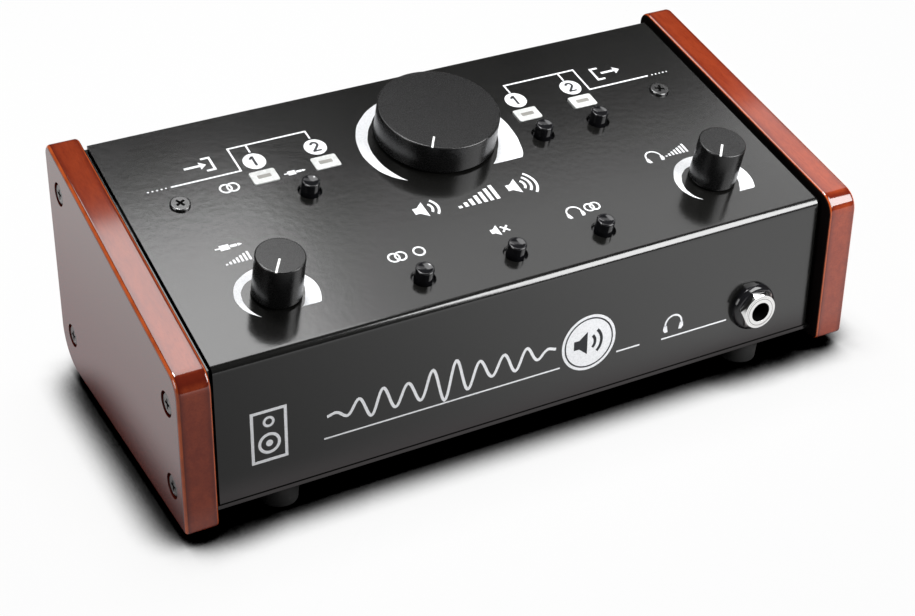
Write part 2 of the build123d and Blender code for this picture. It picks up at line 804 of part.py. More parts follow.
# ---- Indicator windows and the lights behind them ----------------------------------------------
for name, place in window_places.items():
    with BuildPart() as window:
        with BuildSketch(panel_plane.offset(-window_depth)):
            with Locations(place):
                Rectangle(window_width, window_height)
        extrude(amount=window_depth + window_proud)
        with BuildSketch(panel_plane.offset(-cover_thickness - window_flange_thickness)):
            with Locations(place):
                Rectangle(window_width + 2 * window_flange, window_height + 2 * window_flange)
        extrude(amount=window_flange_thickness)
    keep(window, name)

with BuildPart() as indicator_lights:
    light_bottom = -window_depth - light_body_length
    with BuildSketch(panel_plane.offset(light_bottom)):
        with Locations(list(window_places.values())):
            Rectangle(light_width, light_height)
    extrude(amount=light_body_length)
    with BuildSketch(panel_plane.offset(-board_depth)):
        with Locations(list(window_places.values())):
            with GridLocations(light_leg_spacing, 0, 2, 1):
                Rectangle(light_leg, light_leg)
    extrude(amount=board_depth + light_bottom)
keep(indicator_lights, "indicator_lights")

# ---- Main board under the panel ------------------------------------------------------------------
with BuildPart() as main_board:
    with BuildSketch(panel_plane.offset(-board_depth - board_thickness)):
        with Locations((0, (board_front_s + board_back_s) / 2)):
            Rectangle(2 * board_half, board_back_s - board_front_s)
        with Locations(standoff_places):
            Circle(board_screw_radius + through_clearance, mode=Mode.SUBTRACT)
    extrude(amount=board_thickness)
keep(main_board, "main_board")

with BuildPart() as board_standoffs:
    with BuildSketch(panel_plane.offset(-board_depth)):
        with Locations(standoff_places):
            RegularPolygon(standoff_flats / 2, 6, major_radius=False)
    extrude(amount=board_depth - cover_thickness)
    with BuildSketch(panel_plane.offset(-board_depth)):
        with Locations(standoff_places):
            Circle(board_screw_radius + thread_clearance)
    extrude(amount=standoff_bore_depth, mode=Mode.SUBTRACT)
keep(board_standoffs, "board_standoffs")

with BuildPart() as board_screws:
    with BuildSketch(panel_plane.offset(-board_depth - board_thickness)):
        with Locations(standoff_places):
            Circle(board_screw_head_radius)
    extrude(amount=-board_screw_head_height)
    with BuildSketch(panel_plane.offset(-board_depth - board_thickness)):
        with Locations(standoff_places):
            Circle(board_screw_radius)
    extrude(amount=board_screw_length)
keep(board_screws, "board_screws")

# ---- Phones jack ------------------------------------------------------------------------------------
jack_plane = Plane(origin=(jack_x, face_y, jack_z), x_dir=(1, 0, 0), z_dir=(0, -1, 0))

with BuildPart() as phones_jack:
    with BuildSketch(jack_plane.offset(-cover_thickness)):
        Rectangle(jack_body_width, jack_body_height)
    extrude(amount=-jack_body_depth)
    with BuildSketch(jack_plane.offset(-cover_thickness)):
        Circle(jack_bush_radius)
    extrude(amount=cover_thickness + jack_front)
    with BuildSketch(jack_plane.offset(jack_front)):
        Circle(jack_bore_radius)
    bore_length = jack_front + cover_thickness + jack_body_depth - jack_bore_end
    extrude(amount=-bore_length, mode=Mode.SUBTRACT)
    mouth = phones_jack.edges().filter_by(GeomType.CIRCLE).sort_by(Axis.Y)[:2].sort_by(SortBy.RADIUS)[0]
    chamfer(mouth, jack_mouth_chamfer)
keep(phones_jack, "phones_jack")

with BuildPart() as phones_jack_collar:
    with BuildSketch(jack_plane):
        Circle(jack_collar_radius)
    extrude(amount=jack_collar_thickness)
    rim = phones_jack_collar.edges().filter_by(GeomType.CIRCLE).sort_by(Axis.Y)[0]
    fillet(rim, jack_collar_edge_radius)
    with BuildSketch(jack_plane):
        Circle(jack_bush_radius + jack_bush_gap)
    extrude(amount=jack_collar_thickness, mode=Mode.SUBTRACT)
keep(phones_jack_collar, "phones_jack_collar")

jack_nut_corner = jack_nut_flats / 2 / cos(radians(30))
with BuildPart() as phones_jack_nut:
    with BuildSketch(jack_plane.offset(jack_collar_thickness)):
        RegularPolygon(jack_nut_flats / 2, 6, major_radius=False, rotation=jack_nut_turn)
    extrude(amount=jack_nut_thickness)
    # Corners are turned down by a cone, as on any machined nut.
    with BuildSketch(jack_plane.offset(jack_collar_thickness)):
        Circle(jack_nut_corner + jack_nut_rim)
    extrude(amount=jack_nut_thickness, taper=jack_nut_taper, mode=Mode.INTERSECT)
    with BuildSketch(jack_plane.offset(jack_collar_thickness)):
        Circle(jack_bush_radius + thread_clearance)
    extrude(amount=jack_nut_thickness, mode=Mode.SUBTRACT)
keep(phones_jack_nut, "phones_jack_nut")

# ---- Rear connectors ------------------------------------------------------------------------------------
inner_reach = tray_thickness + connector_depth
latch_rise = input_groove_outer + latch_gap + latch_height / 2
output_pins = [(-pin_circle, 0), (0, -pin_circle), (pin_circle, 0)]


def make_connector(x, takes_plug):
    """A panel connector: an input takes a cable's pins or a phone plug, an output has pins."""
    with BuildPart() as connector:
        with BuildSketch(rear_plane):
            with Locations((x, connector_z)):
                RectangleRounded(flange_width, flange_height, flange_corner)
        extrude(amount=flange_thickness)
        with BuildSketch(rear_plane):
            with Locations((x, connector_z)):
                Circle(barrel_radius)
        extrude(amount=-inner_reach)
        with BuildSketch(rear_plane.offset(flange_thickness)):
            with Locations([(x + dx, connector_z + dz) for dx, dz in flange_screws]):
                Circle(connector_screw_radius + through_clearance)
        extrude(amount=-flange_thickness, mode=Mode.SUBTRACT)
        if takes_plug:
            with BuildSketch(rear_plane.offset(flange_thickness)):
                with Locations((x, connector_z)):
                    Circle(input_groove_outer)
                    Circle(input_groove_inner, mode=Mode.SUBTRACT)
                    with PolarLocations(input_pin_circle, 3, start_angle=input_pin_start):
                        Circle(input_pin_hole_radius)
            extrude(amount=-input_groove_depth, mode=Mode.SUBTRACT)
            with BuildSketch(rear_plane.offset(flange_thickness)):
                with Locations((x, connector_z)):
                    Circle(input_bore_radius)
            extrude(amount=-input_bore_depth, mode=Mode.SUBTRACT)
            with BuildSketch(rear_plane.offset(flange_thickness)):
                with Locations((x, connector_z + latch_rise)):
                    Rectangle(latch_width, latch_height)
            extrude(amount=latch_thickness)
        else:
            with BuildSketch(rear_plane.offset(flange_thickness)):
                with Locations((x, connector_z)):
                    Circle(output_socket_radius)
            extrude(amount=-output_socket_depth, mode=Mode.SUBTRACT)
            with BuildSketch(rear_plane.offset(flange_thickness - output_socket_depth)):
                with Locations([(x + dx, connector_z + dz) for dx, dz in output_pins]):
                    Circle(pin_radius)
            extrude(amount=pin_length)
    return connector


for i, x in enumerate(input_connector_xs):
    keep(make_connector(x, True), f"input_connector_{i + 1}")

for i, x in enumerate(output_connector_xs):
    keep(make_connector(x, False), f"output_connector_{i + 1}")

with BuildPart() as connector_screws:
    screw_places = [
        (x + dx, connector_z + dz) for x in connector_xs for dx, dz in flange_screws
    ]
    with BuildSketch(rear_plane.offset(flange_thickness)):
        with Locations(screw_places):
            Circle(connector_screw_head_radius)
    extrude(amount=connector_screw_head_height)
    with BuildSketch(rear_plane.offset(flange_thickness)):
        with Locations(screw_places):
            Circle(connector_screw_radius)
    extrude(amount=-connector_screw_length)
    with BuildSketch(rear_plane.offset(flange_thickness + connector_screw_head_height)):
        with Locations(screw_places):
            Rectangle(cross_length, cross_width)
            Rectangle(cross_width, cross_length)
    extrude(amount=-connector_screw_cross_depth, mode=Mode.SUBTRACT)
keep(connector_screws, "connector_screws")

with BuildPart() as phono_sockets:
    with BuildSketch(rear_plane.offset(-tray_thickness)):
        with Locations((-phono_x, upper_z)):
            Rectangle(phono_body_width, phono_body_height)
    extrude(amount=-connector_depth)
    with BuildSketch(rear_plane.offset(-tray_thickness)):
        with Locations([(x, upper_z) for x in phono_xs]):
            Circle(phono_barrel_radius)
    extrude(amount=tray_thickness + phono_reach)
    with BuildSketch(rear_plane.offset(phono_reach)):
        with Locations([(x, upper_z) for x in phono_xs]):
            Circle(phono_bore_radius)
    extrude(amount=-phono_bore_depth, mode=Mode.SUBTRACT)
    with BuildSketch(rear_plane):
        with Locations([(x, upper_z) for x in phono_xs]):
            Circle(phono_collar_radius)
            Circle(phono_barrel_radius, mode=Mode.SUBTRACT)
    extrude(amount=phono_collar_thickness)
keep(phono_sockets, "phono_sockets")

with BuildPart() as power_inlet:
    with BuildSketch(rear_plane):
        with Locations((-power_inlet_x, upper_z)):
            Circle(power_inlet_flange_radius)
    extrude(amount=power_inlet_flange_thickness)
    with BuildSketch(rear_plane):
        with Locations((-power_inlet_x, upper_z)):
            Circle(power_inlet_radius)
    extrude(amount=-inner_reach)
    with BuildSketch(rear_plane.offset(power_inlet_flange_thickness)):
        with Locations((-power_inlet_x, upper_z)):
            Circle(power_inlet_bore_radius)
            Circle(power_inlet_pin_radius, mode=Mode.SUBTRACT)
    extrude(amount=-power_inlet_bore_depth, mode=Mode.SUBTRACT)
    with BuildSketch(rear_plane.offset(power_inlet_flange_thickness)):
        with Locations((-power_inlet_x, upper_z)):
            Circle(power_inlet_bore_radius)
    extrude(amount=-power_inlet_pin_setback, mode=Mode.SUBTRACT)
keep(power_inlet, "power_inlet")

# ---- Power switch: a frame and a rocker on two short pins -------------------------------------------------
pivot_y = rear_y - rocker_pivot_depth
well_half_height = rocker_height / 2 + rocker_well_gap
well_depth = rocker_pivot_depth + rocker_depth / 2 + rocker_well_gap

with BuildPart() as power_switch_frame:
    with BuildSketch(rear_plane):
        with Locations((-power_switch_x, upper_z)):
            Rectangle(power_frame_width, power_frame_height)
    extrude(amount=power_frame_thickness)
    with BuildSketch(rear_plane):
        with Locations((-power_switch_x, upper_z)):
            Rectangle(power_body_width, power_body_height)
    extrude(amount=-inner_reach)
    with BuildSketch(rear_plane.offset(power_frame_thickness)):
        with Locations((-power_switch_x, upper_z)):
            Rectangle(rocker_width + 2 * rocker_gap, 2 * well_half_height)
    extrude(amount=-power_frame_thickness - well_depth, mode=Mode.SUBTRACT)
    pin_plane = Plane(origin=(power_switch_x, pivot_y, upper_z), x_dir=(0, 1, 0), z_dir=(1, 0, 0))
    pin_reach = rocker_width / 2 + rocker_gap + rocker_pin_length
    with BuildSketch(pin_plane.offset(-pin_reach)):
        Circle(rocker_pin_radius + rocker_pin_gap)
    extrude(amount=2 * pin_reach, mode=Mode.SUBTRACT)
keep(power_switch_frame, "power_switch_frame")

# The rocker rests tipped to its off side: its ends are level sections turned about the pivot.
tilt = radians(rocker_tilt)
pivot = (power_switch_x, pivot_y, upper_z)
rocker_rest = Plane(origin=pivot, x_dir=(0, cos(tilt), sin(tilt)), z_dir=(1, 0, 0))
face_reach = rocker_pivot_depth + rocker_stand - rocker_height / 2 * tan(radians(2 * rocker_tilt))

with BuildPart() as power_rocker:
    with BuildSketch(rocker_rest.offset(-rocker_width / 2)):
        with BuildLine():
            Polyline(
                (-rocker_depth / 2, -rocker_height / 2),
                (rocker_pivot_depth + rocker_stand, -rocker_height / 2),
                (face_reach, 0),
                (rocker_pivot_depth + rocker_stand, rocker_height / 2),
                (-rocker_depth / 2, rocker_height / 2),
                close=True,
            )
        make_face()
    extrude(amount=rocker_width)
    pin_half = rocker_width / 2 + rocker_gap + rocker_pin_length - thread_clearance
    with BuildSketch(rocker_rest.offset(-pin_half)):
        Circle(rocker_pin_radius)
    extrude(amount=2 * pin_half)
keep(power_rocker, "power_rocker")

# ---- Rear board and the ribbon cable to the main board ----------------------------------------------------------
rear_board_y = rear_inner_y - connector_depth
rear_board_top_z = upper_z + phono_body_height / 2
rear_board_bottom_z = floor_z + rear_board_floor_gap

with BuildPart() as rear_board:
    with BuildSketch(Plane(origin=(0, rear_board_y, 0), x_dir=(1, 0, 0), z_dir=(0, -1, 0))):
        with Locations((0, (rear_board_top_z + rear_board_bottom_z) / 2)):
            Rectangle(2 * board_half, rear_board_top_z - rear_board_bottom_z)
    extrude(amount=board_thickness)
keep(rear_board, "rear_board")

ribbon_back_y = rear_board_y - board_thickness
ribbon_low_z = connector_z
ribbon_top_y = ribbon_back_y - ribbon_header_depth

with BuildPart() as ribbon_cable:
    with BuildSketch(Plane.YZ.offset(ribbon_x - ribbon_width / 2)):
        with BuildLine():
            Polyline(
                (ribbon_back_y, ribbon_low_z),
                (ribbon_back_y, ribbon_low_z + ribbon_thickness),
                (ribbon_top_y, ribbon_low_z + ribbon_thickness),
                (ribbon_top_y, panel_z(ribbon_top_y, board_depth + board_thickness)),
                (
                    ribbon_top_y - ribbon_thickness,
                    panel_z(ribbon_top_y - ribbon_thickness, board_depth + board_thickness),
                ),
                (ribbon_top_y - ribbon_thickness, ribbon_low_z),
                close=True,
            )
        make_face()
    extrude(amount=ribbon_width)
keep(ribbon_cable, "ribbon_cable")
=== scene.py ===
import math

import bmesh
import bpy
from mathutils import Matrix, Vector
from mathutils.geometry import tessellate_polygon


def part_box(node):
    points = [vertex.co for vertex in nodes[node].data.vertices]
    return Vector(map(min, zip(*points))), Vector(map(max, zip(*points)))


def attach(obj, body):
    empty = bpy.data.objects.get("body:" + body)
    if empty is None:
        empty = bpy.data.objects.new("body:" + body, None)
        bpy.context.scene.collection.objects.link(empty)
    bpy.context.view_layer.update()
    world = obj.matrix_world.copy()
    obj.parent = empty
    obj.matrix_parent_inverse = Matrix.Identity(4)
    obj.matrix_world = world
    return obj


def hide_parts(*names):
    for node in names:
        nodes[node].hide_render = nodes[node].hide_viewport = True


print("stage: frame")
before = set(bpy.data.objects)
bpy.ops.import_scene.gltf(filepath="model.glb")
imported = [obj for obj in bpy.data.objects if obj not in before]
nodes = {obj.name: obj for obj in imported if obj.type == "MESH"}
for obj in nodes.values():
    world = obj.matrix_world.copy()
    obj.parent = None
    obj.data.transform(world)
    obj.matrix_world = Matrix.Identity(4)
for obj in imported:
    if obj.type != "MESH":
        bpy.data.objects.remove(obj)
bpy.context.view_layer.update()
mm = 0.001

panel = {
    "slope": 15,                # degrees
    "length": 102.1,            # from the front bend to the back edge, millimetres
}
# Places on the unit, from the frame's own boxes.
panelSlope = math.radians(panel["slope"])
coverLow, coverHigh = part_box("top_cover")
faceY = coverLow.y
bendZ = coverHigh.z - panel["length"] * mm * math.sin(panelSlope)
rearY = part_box("base_tray")[1].y
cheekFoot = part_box("left_cheek")[0].z
alongPanel = Vector((0, math.cos(panelSlope), math.sin(panelSlope)))
outOfPanel = Vector((0, -math.sin(panelSlope), math.cos(panelSlope)))
panelCorner = Vector((0, faceY, bendZ))


def onPanel(x, s, rise=0.0):  # millimetres across, up the slope and out of the panel
    return panelCorner + Vector((x * mm, 0, 0)) + alongPanel * (s * mm) + outOfPanel * (rise * mm)


def onFace(x, z, rise=0.0):  # millimetres across, above the cheeks' lower edge, out of the face
    return Vector((x * mm, faceY - rise * mm, cheekFoot + z * mm))


def onRear(x, z, rise=0.0):  # millimetres to the left seen from behind, above the table, out
    return Vector((-x * mm, rearY + rise * mm, z * mm))


def middleHeight(node):  # of a node above the table, millimetres
    low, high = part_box(node)
    return (low.z + high.z) / 2 / mm


class Field:  # one result of a node; plain numbers mix in freely
    def __init__(self, recipe, made, output):
        self.recipe = recipe
        self.made = made
        self.socket = made.outputs[output] if made.outputs else None

    def math(self, operation, first, second=None):
        sockets = {0: first} if second is None else {0: first, 1: second}
        return self.recipe.node("ShaderNodeMath", {"operation": operation}, sockets)

    def __add__(self, other):
        return self.math("ADD", self, other)

    def __radd__(self, other):
        return self.math("ADD", other, self)

    def __sub__(self, other):
        return self.math("SUBTRACT", self, other)

    def __rsub__(self, other):
        return self.math("SUBTRACT", other, self)

    def __mul__(self, other):
        return self.math("MULTIPLY", self, other)

    def __rmul__(self, other):
        return self.math("MULTIPLY", other, self)

    def __truediv__(self, other):
        return self.math("DIVIDE", self, other)

    def __rtruediv__(self, other):
        return self.math("DIVIDE", other, self)

    def size(self):
        return self.math("ABSOLUTE", self)

    def step(self, low, high):  # 0 at low, 1 at high, smooth between
        sockets = {"Value": self, "From Min": low, "From Max": high}
        return self.recipe.node("ShaderNodeMapRange", {"interpolation_type": "SMOOTHSTEP"}, sockets)


class Recipe:  # the nodes of a material or of the air around
    def __init__(self, owner):
        owner.use_nodes = True
        self.tree = owner.node_tree
        self.tree.nodes.clear()

    def node(self, kind, settings=None, sockets=None, output=0):
        made = self.tree.nodes.new(kind)
        for name, value in (settings or {}).items():
            setattr(made, name, value)
        for name, value in (sockets or {}).items():
            self.feed(made.inputs[name], value)
        return Field(self, made, output)

    def feed(self, target, value):
        if isinstance(value, Field):
            self.tree.links.new(value.socket, target)
        elif target.type == "RGBA":
            target.default_value = (*value[:3], 1)
        else:
            target.default_value = value


class Paint(Recipe):  # a finish, with the few steps that every finish here is made of
    def __init__(self, name, uniform):
        self.material = bpy.data.materials.new(name)
        super().__init__(self.material)
        self.surface = self.node("ShaderNodeBsdfPrincipled")
        self.output = self.node("ShaderNodeOutputMaterial", {}, {0: self.surface})
        self.place = self.node("ShaderNodeTexCoord", output="Object")
        for socket, value in uniform.items():
            self.set(socket, value)

    def set(self, name, value):
        self.feed(self.surface.made.inputs[name], value)

    def noise(self, grain, detail=2.0, rough=0.5, stretch=None, bend=0.0):
        # grain is the size of one blotch in millimetres
        place = self.place
        if stretch:
            place = self.node("ShaderNodeVectorMath", {"operation": "MULTIPLY"}, {0: place, 1: stretch})
        sockets = {
            "Vector": place,
            "Scale": 1000 / grain,
            "Detail": detail,
            "Roughness": rough,
            "Distortion": bend,
        }
        return self.node("ShaderNodeTexNoise", {}, sockets)

    def placePart(self, axis):
        return self.node("ShaderNodeSeparateXYZ", {}, {0: self.place}, axis)

    def normalPart(self, axis):
        tilt = self.node("ShaderNodeTexCoord", output="Normal")
        return self.node("ShaderNodeSeparateXYZ", {}, {0: tilt}, axis)

    def blend(self, first, second, share):
        sockets = {"Factor": share, 6: first, 7: second}
        return self.node("ShaderNodeMix", {"data_type": "RGBA"}, sockets, 2)

    def bump(self, height, depth, under=None):  # depth in millimetres for a height of 1
        sockets = {"Height": height, "Distance": depth * mm, "Strength": 1.0}
        if under:
            sockets["Normal"] = under
        return self.node("ShaderNodeBump", {}, sockets)


def toned(colour, times, plus=0.0):  # lighter above 1, darker below
    return tuple(channel * times + plus for channel in colour)


panelPaintLook = {
    "colour": (0.0038, 0.0038, 0.0035),
    "roughness": 0.15,
    "peel": 2.3,                # size of the orange peel, millimetres
    "peelDepth": 0.014,
    "grit": 0.35,
    "gritDepth": 0.004,
    "cloud": 35,
}


def makePanelPaint(name, look):
    paint = Paint(name, {"IOR": 1.72})
    peel = paint.noise(look["peel"], 1.5, 0.45)
    grit = paint.noise(look["grit"], 2.0, 0.6)
    cloud = paint.noise(look["cloud"])
    lighter = toned(look["colour"], 1.5, 0.002)
    paint.set("Base Color", paint.blend(look["colour"], lighter, grit.step(0.35, 0.75) * 0.6))
    paint.set("Roughness", look["roughness"] + (cloud - 0.5) * 0.05 + (grit - 0.5) * 0.08)
    paint.set("Normal", paint.bump(grit, look["gritDepth"], paint.bump(peel, look["peelDepth"])))
    return paint.material


woodLook = {
    "deep": (0.072, 0.005, 0.002),
    "stain": (0.165, 0.020, 0.006),
    "light": (0.235, 0.035, 0.010),
    "arris": (0.47, 0.085, 0.018),
    "inside": (0.004, 0.003, 0.003),
    "middle": 112.2,            # middle of a cheek's thickness, from the unit's middle
    "halfThickness": 5.3,
    "cloud": 26,                # sizes of the grain's blotches, millimetres
    "streak": 3.0,
    "fine": 0.6,
    "pore": 0.36,
    "ripple": 9,
    "lacquer": 1.0,
    "lacquerRoughness": 0.07,
    "lacquerIor": 1.66,
}


def makeWood(name, look):
    paint = Paint(name, {"Specular IOR Level": 0.0, "Coat IOR": look["lacquerIor"],
                         "Coat Roughness": look["lacquerRoughness"]})
    # Grain runs from front to back, along the slope.
    cloud = paint.noise(look["cloud"], 2.0, 0.5, (1, 0.3, 1))
    streak = paint.noise(look["streak"], 4.0, 0.6, (1, 0.06, 1), 0.4)
    fine = paint.noise(look["fine"], 3.0, 0.6, (1, 0.04, 1))
    pore = paint.noise(look["pore"], 2.0, 0.5, (1, 0.12, 1)).step(0.62, 0.74)
    figure = streak.step(0.30, 0.70) * 0.6 + cloud.step(0.35, 0.7) * 0.4
    body = paint.blend(look["stain"], look["light"], figure)
    body = paint.blend(body, look["deep"], (1 - fine.step(0.3, 0.6)) * 0.22 + pore * 0.25)
    # Darker towards the cheek's two sides.
    fromMiddle = (paint.placePart(0).size() - look["middle"] * mm).size() / (look["halfThickness"] * mm)
    uneven = paint.noise(5, 3.0, 0.6, (1, 0.35, 1))
    body = paint.blend(body, look["deep"], (fromMiddle + (uneven - 0.5) * 0.25).step(0.45, 0.95) * 0.85)
    # Painted shade: darker where the front turns up into the slope, chosen by which way the surface faces.
    forward = paint.normalPart(1)
    bend = forward.step(-0.35, -0.60) * (1 - forward.step(-0.80, -0.97))
    body = paint.blend(body, look["deep"], bend * 0.8)
    # It is lighter on the rounded arrises.
    across = paint.normalPart(0)
    lighterOnArris = (across * across * (1 - across * across) * 4).step(0.20, 0.85)
    patchy = paint.noise(6).step(0.25, 0.6)
    body = paint.blend(body, look["arris"], lighterOnArris * (0.6 + patchy * 0.4))
    # Inner faces are near black and get no lacquer.
    facesIn = (paint.placePart(0) * across).step(-0.050, -0.085)
    paint.set("Base Color", paint.blend(body, look["inside"], facesIn))
    paint.set("Coat Weight", (1 - facesIn) * look["lacquer"])
    paint.set("Roughness", 0.38 + (fine - 0.5) * 0.2)
    ripple = paint.noise(look["ripple"], 1.0, 0.4)
    paint.set("Normal", paint.bump(ripple, 0.02, paint.bump(streak, 0.010)))
    return paint.material


knobLook = {
    "colour": (0.0035, 0.0035, 0.0036),
    "roughness": 0.26,
    "grain": 0.30,              # millimetres
    "grainDepth": 0.018,
    "dust": 0.55,
}


def makeKnobPlastic(name, look):
    paint = Paint(name, {"IOR": 1.48})
    grain = paint.noise(look["grain"], 2.0, 0.6)
    dust = paint.noise(look["dust"], 1.0).step(0.68, 0.76)
    body = paint.blend(look["colour"], toned(look["colour"], 2.2), grain.step(0.4, 0.75) * 0.5)
    paint.set("Base Color", paint.blend(body, toned(look["colour"], 6, 0.02), dust * 0.25))
    paint.set("Roughness", look["roughness"] + (grain - 0.5) * 0.25)
    paint.set("Normal", paint.bump(grain, look["grainDepth"]))
    return paint.material


glossLook = {
    "colour": (0.006, 0.006, 0.007),
    "roughness": 0.09,
    "smear": 2.6,               # millimetres
    "scuff": 0.5,
}


def makeGlossPlastic(name, look):
    paint = Paint(name, {"IOR": 1.5})
    smear = paint.noise(look["smear"])
    scuff = paint.noise(look["scuff"], 2.0, 0.6, (1, 0.15, 1)).step(0.62, 0.8)
    paint.set("Base Color", paint.blend(look["colour"], toned(look["colour"], 2, 0.004), scuff * 0.5))
    paint.set("Roughness", look["roughness"] + smear * 0.06 + scuff * 0.1)
    paint.set("Normal", paint.bump(smear, 0.008))
    return paint.material


def makePrint(name, colour, rough=0.45):  # screen-printed ink
    paint = Paint(name, {"IOR": 1.46})
    edge = paint.noise(0.5, 2.0, 0.6)
    paint.set("Base Color", paint.blend(toned(colour, 0.86), colour, edge.step(0.3, 0.6)))
    paint.set("Roughness", rough + (edge - 0.5) * 0.2)
    paint.set("Normal", paint.bump(edge, 0.004))
    return paint.material


def makeMetal(name, colour, rough, scratch=0.006, tarnish=0.25):
    paint = Paint(name, {"Metallic": 1.0})
    rub = paint.noise(0.25, 2.0, 0.6, (1, 1, 0.2))
    stain = paint.noise(2.2, 3.0, 0.6).step(0.45, 0.8)
    paint.set("Base Color", paint.blend(colour, toned(colour, 0.6), stain * tarnish))
    paint.set("Roughness", rough + (rub - 0.5) * rough + stain * 0.1)
    paint.set("Normal", paint.bump(rub, scratch))
    return paint.material


def makeRubber(name):
    paint = Paint(name, {"IOR": 1.5})
    grain = paint.noise(0.4, 3.0, 0.6)
    dust = paint.noise(3.5, 3.0, 0.6).step(0.5, 0.85)
    paint.set("Base Color", paint.blend((0.010, 0.010, 0.010), (0.030, 0.029, 0.028), dust * 0.6))
    paint.set("Roughness", 0.62 + grain * 0.2)
    paint.set("Normal", paint.bump(grain, 0.02))
    return paint.material


def makeMoulded(name, colour, rough=0.45):  # plain moulded plastic with a light spark texture
    paint = Paint(name, {"IOR": 1.48})
    spark = paint.noise(0.28, 2.0, 0.6)
    flow = paint.noise(7)
    paint.set("Base Color", paint.blend(colour, toned(colour, 1.5, 0.003), flow.step(0.35, 0.75) * 0.5))
    paint.set("Roughness", rough + (spark - 0.5) * 0.25)
    paint.set("Normal", paint.bump(spark, 0.010))
    return paint.material


def makePaintedShadePit(name):  # painted shade: near-black standing in for the shade at the bottom of a recess
    paint = Paint(name, {"Specular IOR Level": 0.05})
    dust = paint.noise(0.5)
    shadeBlack, grey = (0.0010, 0.0010, 0.0010), (0.0030, 0.0028, 0.0026)
    paint.set("Base Color", paint.blend(shadeBlack, grey, dust.step(0.4, 0.7)))
    paint.set("Roughness", 0.85 + dust * 0.1)
    return paint.material


def makeWindow(name):  # milky diffuser
    paint = Paint(name, {"IOR": 1.46, "Subsurface Weight": 0.35, "Subsurface Scale": 1.0,
                         "Subsurface Radius": (0.8 * mm, 0.8 * mm, 0.8 * mm)})
    milk = paint.noise(1.2)
    paint.set("Base Color", paint.blend((0.50, 0.51, 0.50), (0.62, 0.63, 0.62), milk.step(0.3, 0.7)))
    paint.set("Roughness", 0.32 + milk * 0.12)
    paint.set("Normal", paint.bump(milk, 0.010))
    return paint.material


def makeBoard(name):
    paint = Paint(name, {"IOR": 1.5})
    lane = paint.noise(1.1, 1.0, 0.5, (1, 0.2, 1)).step(0.5, 0.56)
    paint.set("Base Color", paint.blend((0.008, 0.060, 0.022), (0.016, 0.105, 0.040), lane))
    paint.set("Roughness", 0.28 + lane * 0.12)
    paint.set("Normal", paint.bump(lane, 0.035))
    return paint.material


print("stage: materials")
finish = {
    "panelPaint": makePanelPaint("panelPaint", panelPaintLook),
    "wood": makeWood("lacqueredWood", woodLook),
    "knob": makeKnobPlastic("knobPlastic", knobLook),
    "gloss": makeGlossPlastic("glossPlastic", glossLook),
    "whiteInk": makePrint("whiteInk", (0.80, 0.81, 0.83)),
    "darkInk": makePrint("darkInk", (0.010, 0.011, 0.015)),
    "redRing": makeMoulded("redRing", (0.45, 0.02, 0.02)),
    "whiteRing": makeMoulded("whiteRing", (0.62, 0.62, 0.60)),
    "pointerInk": makePrint("pointerInk", (0.86, 0.86, 0.86), 0.35),
    "chrome": makeMetal("chromePlate", (0.86, 0.86, 0.85), 0.10, 0.003, 0.10),
    "steel": makeMetal("zincSteel", (0.50, 0.50, 0.50), 0.30),
    "greySteel": makeMetal("greySteel", (0.10, 0.10, 0.098), 0.28, 0.008, 0.3),
    "blackSteel": makeMetal("blackOxide", (0.13, 0.13, 0.13), 0.24, 0.006, 0.2),
    "brass": makeMetal("turnedBrass", (0.75, 0.58, 0.32), 0.25),
    "castMetal": makeMetal("castMetal", (0.58, 0.58, 0.57), 0.38, 0.015),
    "rubber": makeRubber("footRubber"),
    "moulded": makeMoulded("blackMoulded", (0.016, 0.016, 0.017)),
    "paleMoulded": makeMoulded("paleMoulded", (0.55, 0.54, 0.50)),
    "greyStrip": makeMoulded("greyStrip", (0.30, 0.30, 0.32)),
    # Painted shadow: grey for the LEDs' shadow behind the indicator lenses.
    "ledShadowGrey": makeMoulded("ledShadowGrey", (0.20, 0.195, 0.18), 0.4),
    "pit": makePaintedShadePit("paintedShadeBlack"),
    "window": makeWindow("windowDiffuser"),
    "board": makeBoard("boardMask"),
}
nodeFinish = {
    "top_cover": "panelPaint", "base_tray": "panelPaint",
    "left_cheek": "wood", "right_cheek": "wood",
    "cheek_screws": "greySteel", "cover_screws": "blackSteel", "connector_screws": "blackSteel",
    "foot_screws": "steel", "board_screws": "steel", "board_standoffs": "steel",
    "pot_nuts": "steel", "pot_washers": "steel", "main_board": "board", "rear_board": "board",
    "ribbon_cable": "greyStrip", "switch_bodies": "paleMoulded", "indicator_lights": "paleMoulded",
    "phones_jack": "moulded", "phones_jack_collar": "gloss", "phones_jack_nut": "chrome",
    "phono_sockets": "moulded", "power_inlet": "moulded", "power_switch_frame": "moulded",
    "power_rocker": "gloss",
}
familyFinish = {
    "_foot": "rubber", "_knob": "knob", "_shaft": "brass", "_pot": "castMetal",
    "_button": "gloss", "_plunger": "paleMoulded", "_window": "window",
}


def finishOf(name):
    if name in nodeFinish:
        return nodeFinish[name]
    for ending, kind in familyFinish.items():
        if name.endswith(ending):
            return kind
    return "moulded"  # the rear connectors


def smoothOver(piece, degrees=32):  # round faces shade smoothly, true edges stay crisp
    for polygon in piece.data.polygons:
        polygon.use_smooth = True
    split = piece.modifiers.new("crispEdges", "EDGE_SPLIT")
    split.split_angle = math.radians(degrees)


for name, piece in nodes.items():
    piece.data.materials.clear()
    piece.data.materials.append(finish[finishOf(name)])
    smoothOver(piece)


# Pieces made here.
def addPiece(name, corners, faces, kind, body="housing", smooth=False):
    mesh = bpy.data.meshes.new(name)
    mesh.from_pydata([tuple(c) for c in corners], [], faces)
    mesh.validate()
    shape = bmesh.new()
    shape.from_mesh(mesh)
    bmesh.ops.recalc_face_normals(shape, faces=shape.faces)
    shape.to_mesh(mesh)
    shape.free()
    piece = bpy.data.objects.new(name, mesh)
    bpy.context.scene.collection.objects.link(piece)
    mesh.materials.append(finish[kind])
    if smooth:
        smoothOver(piece)
    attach(piece, body)
    return piece


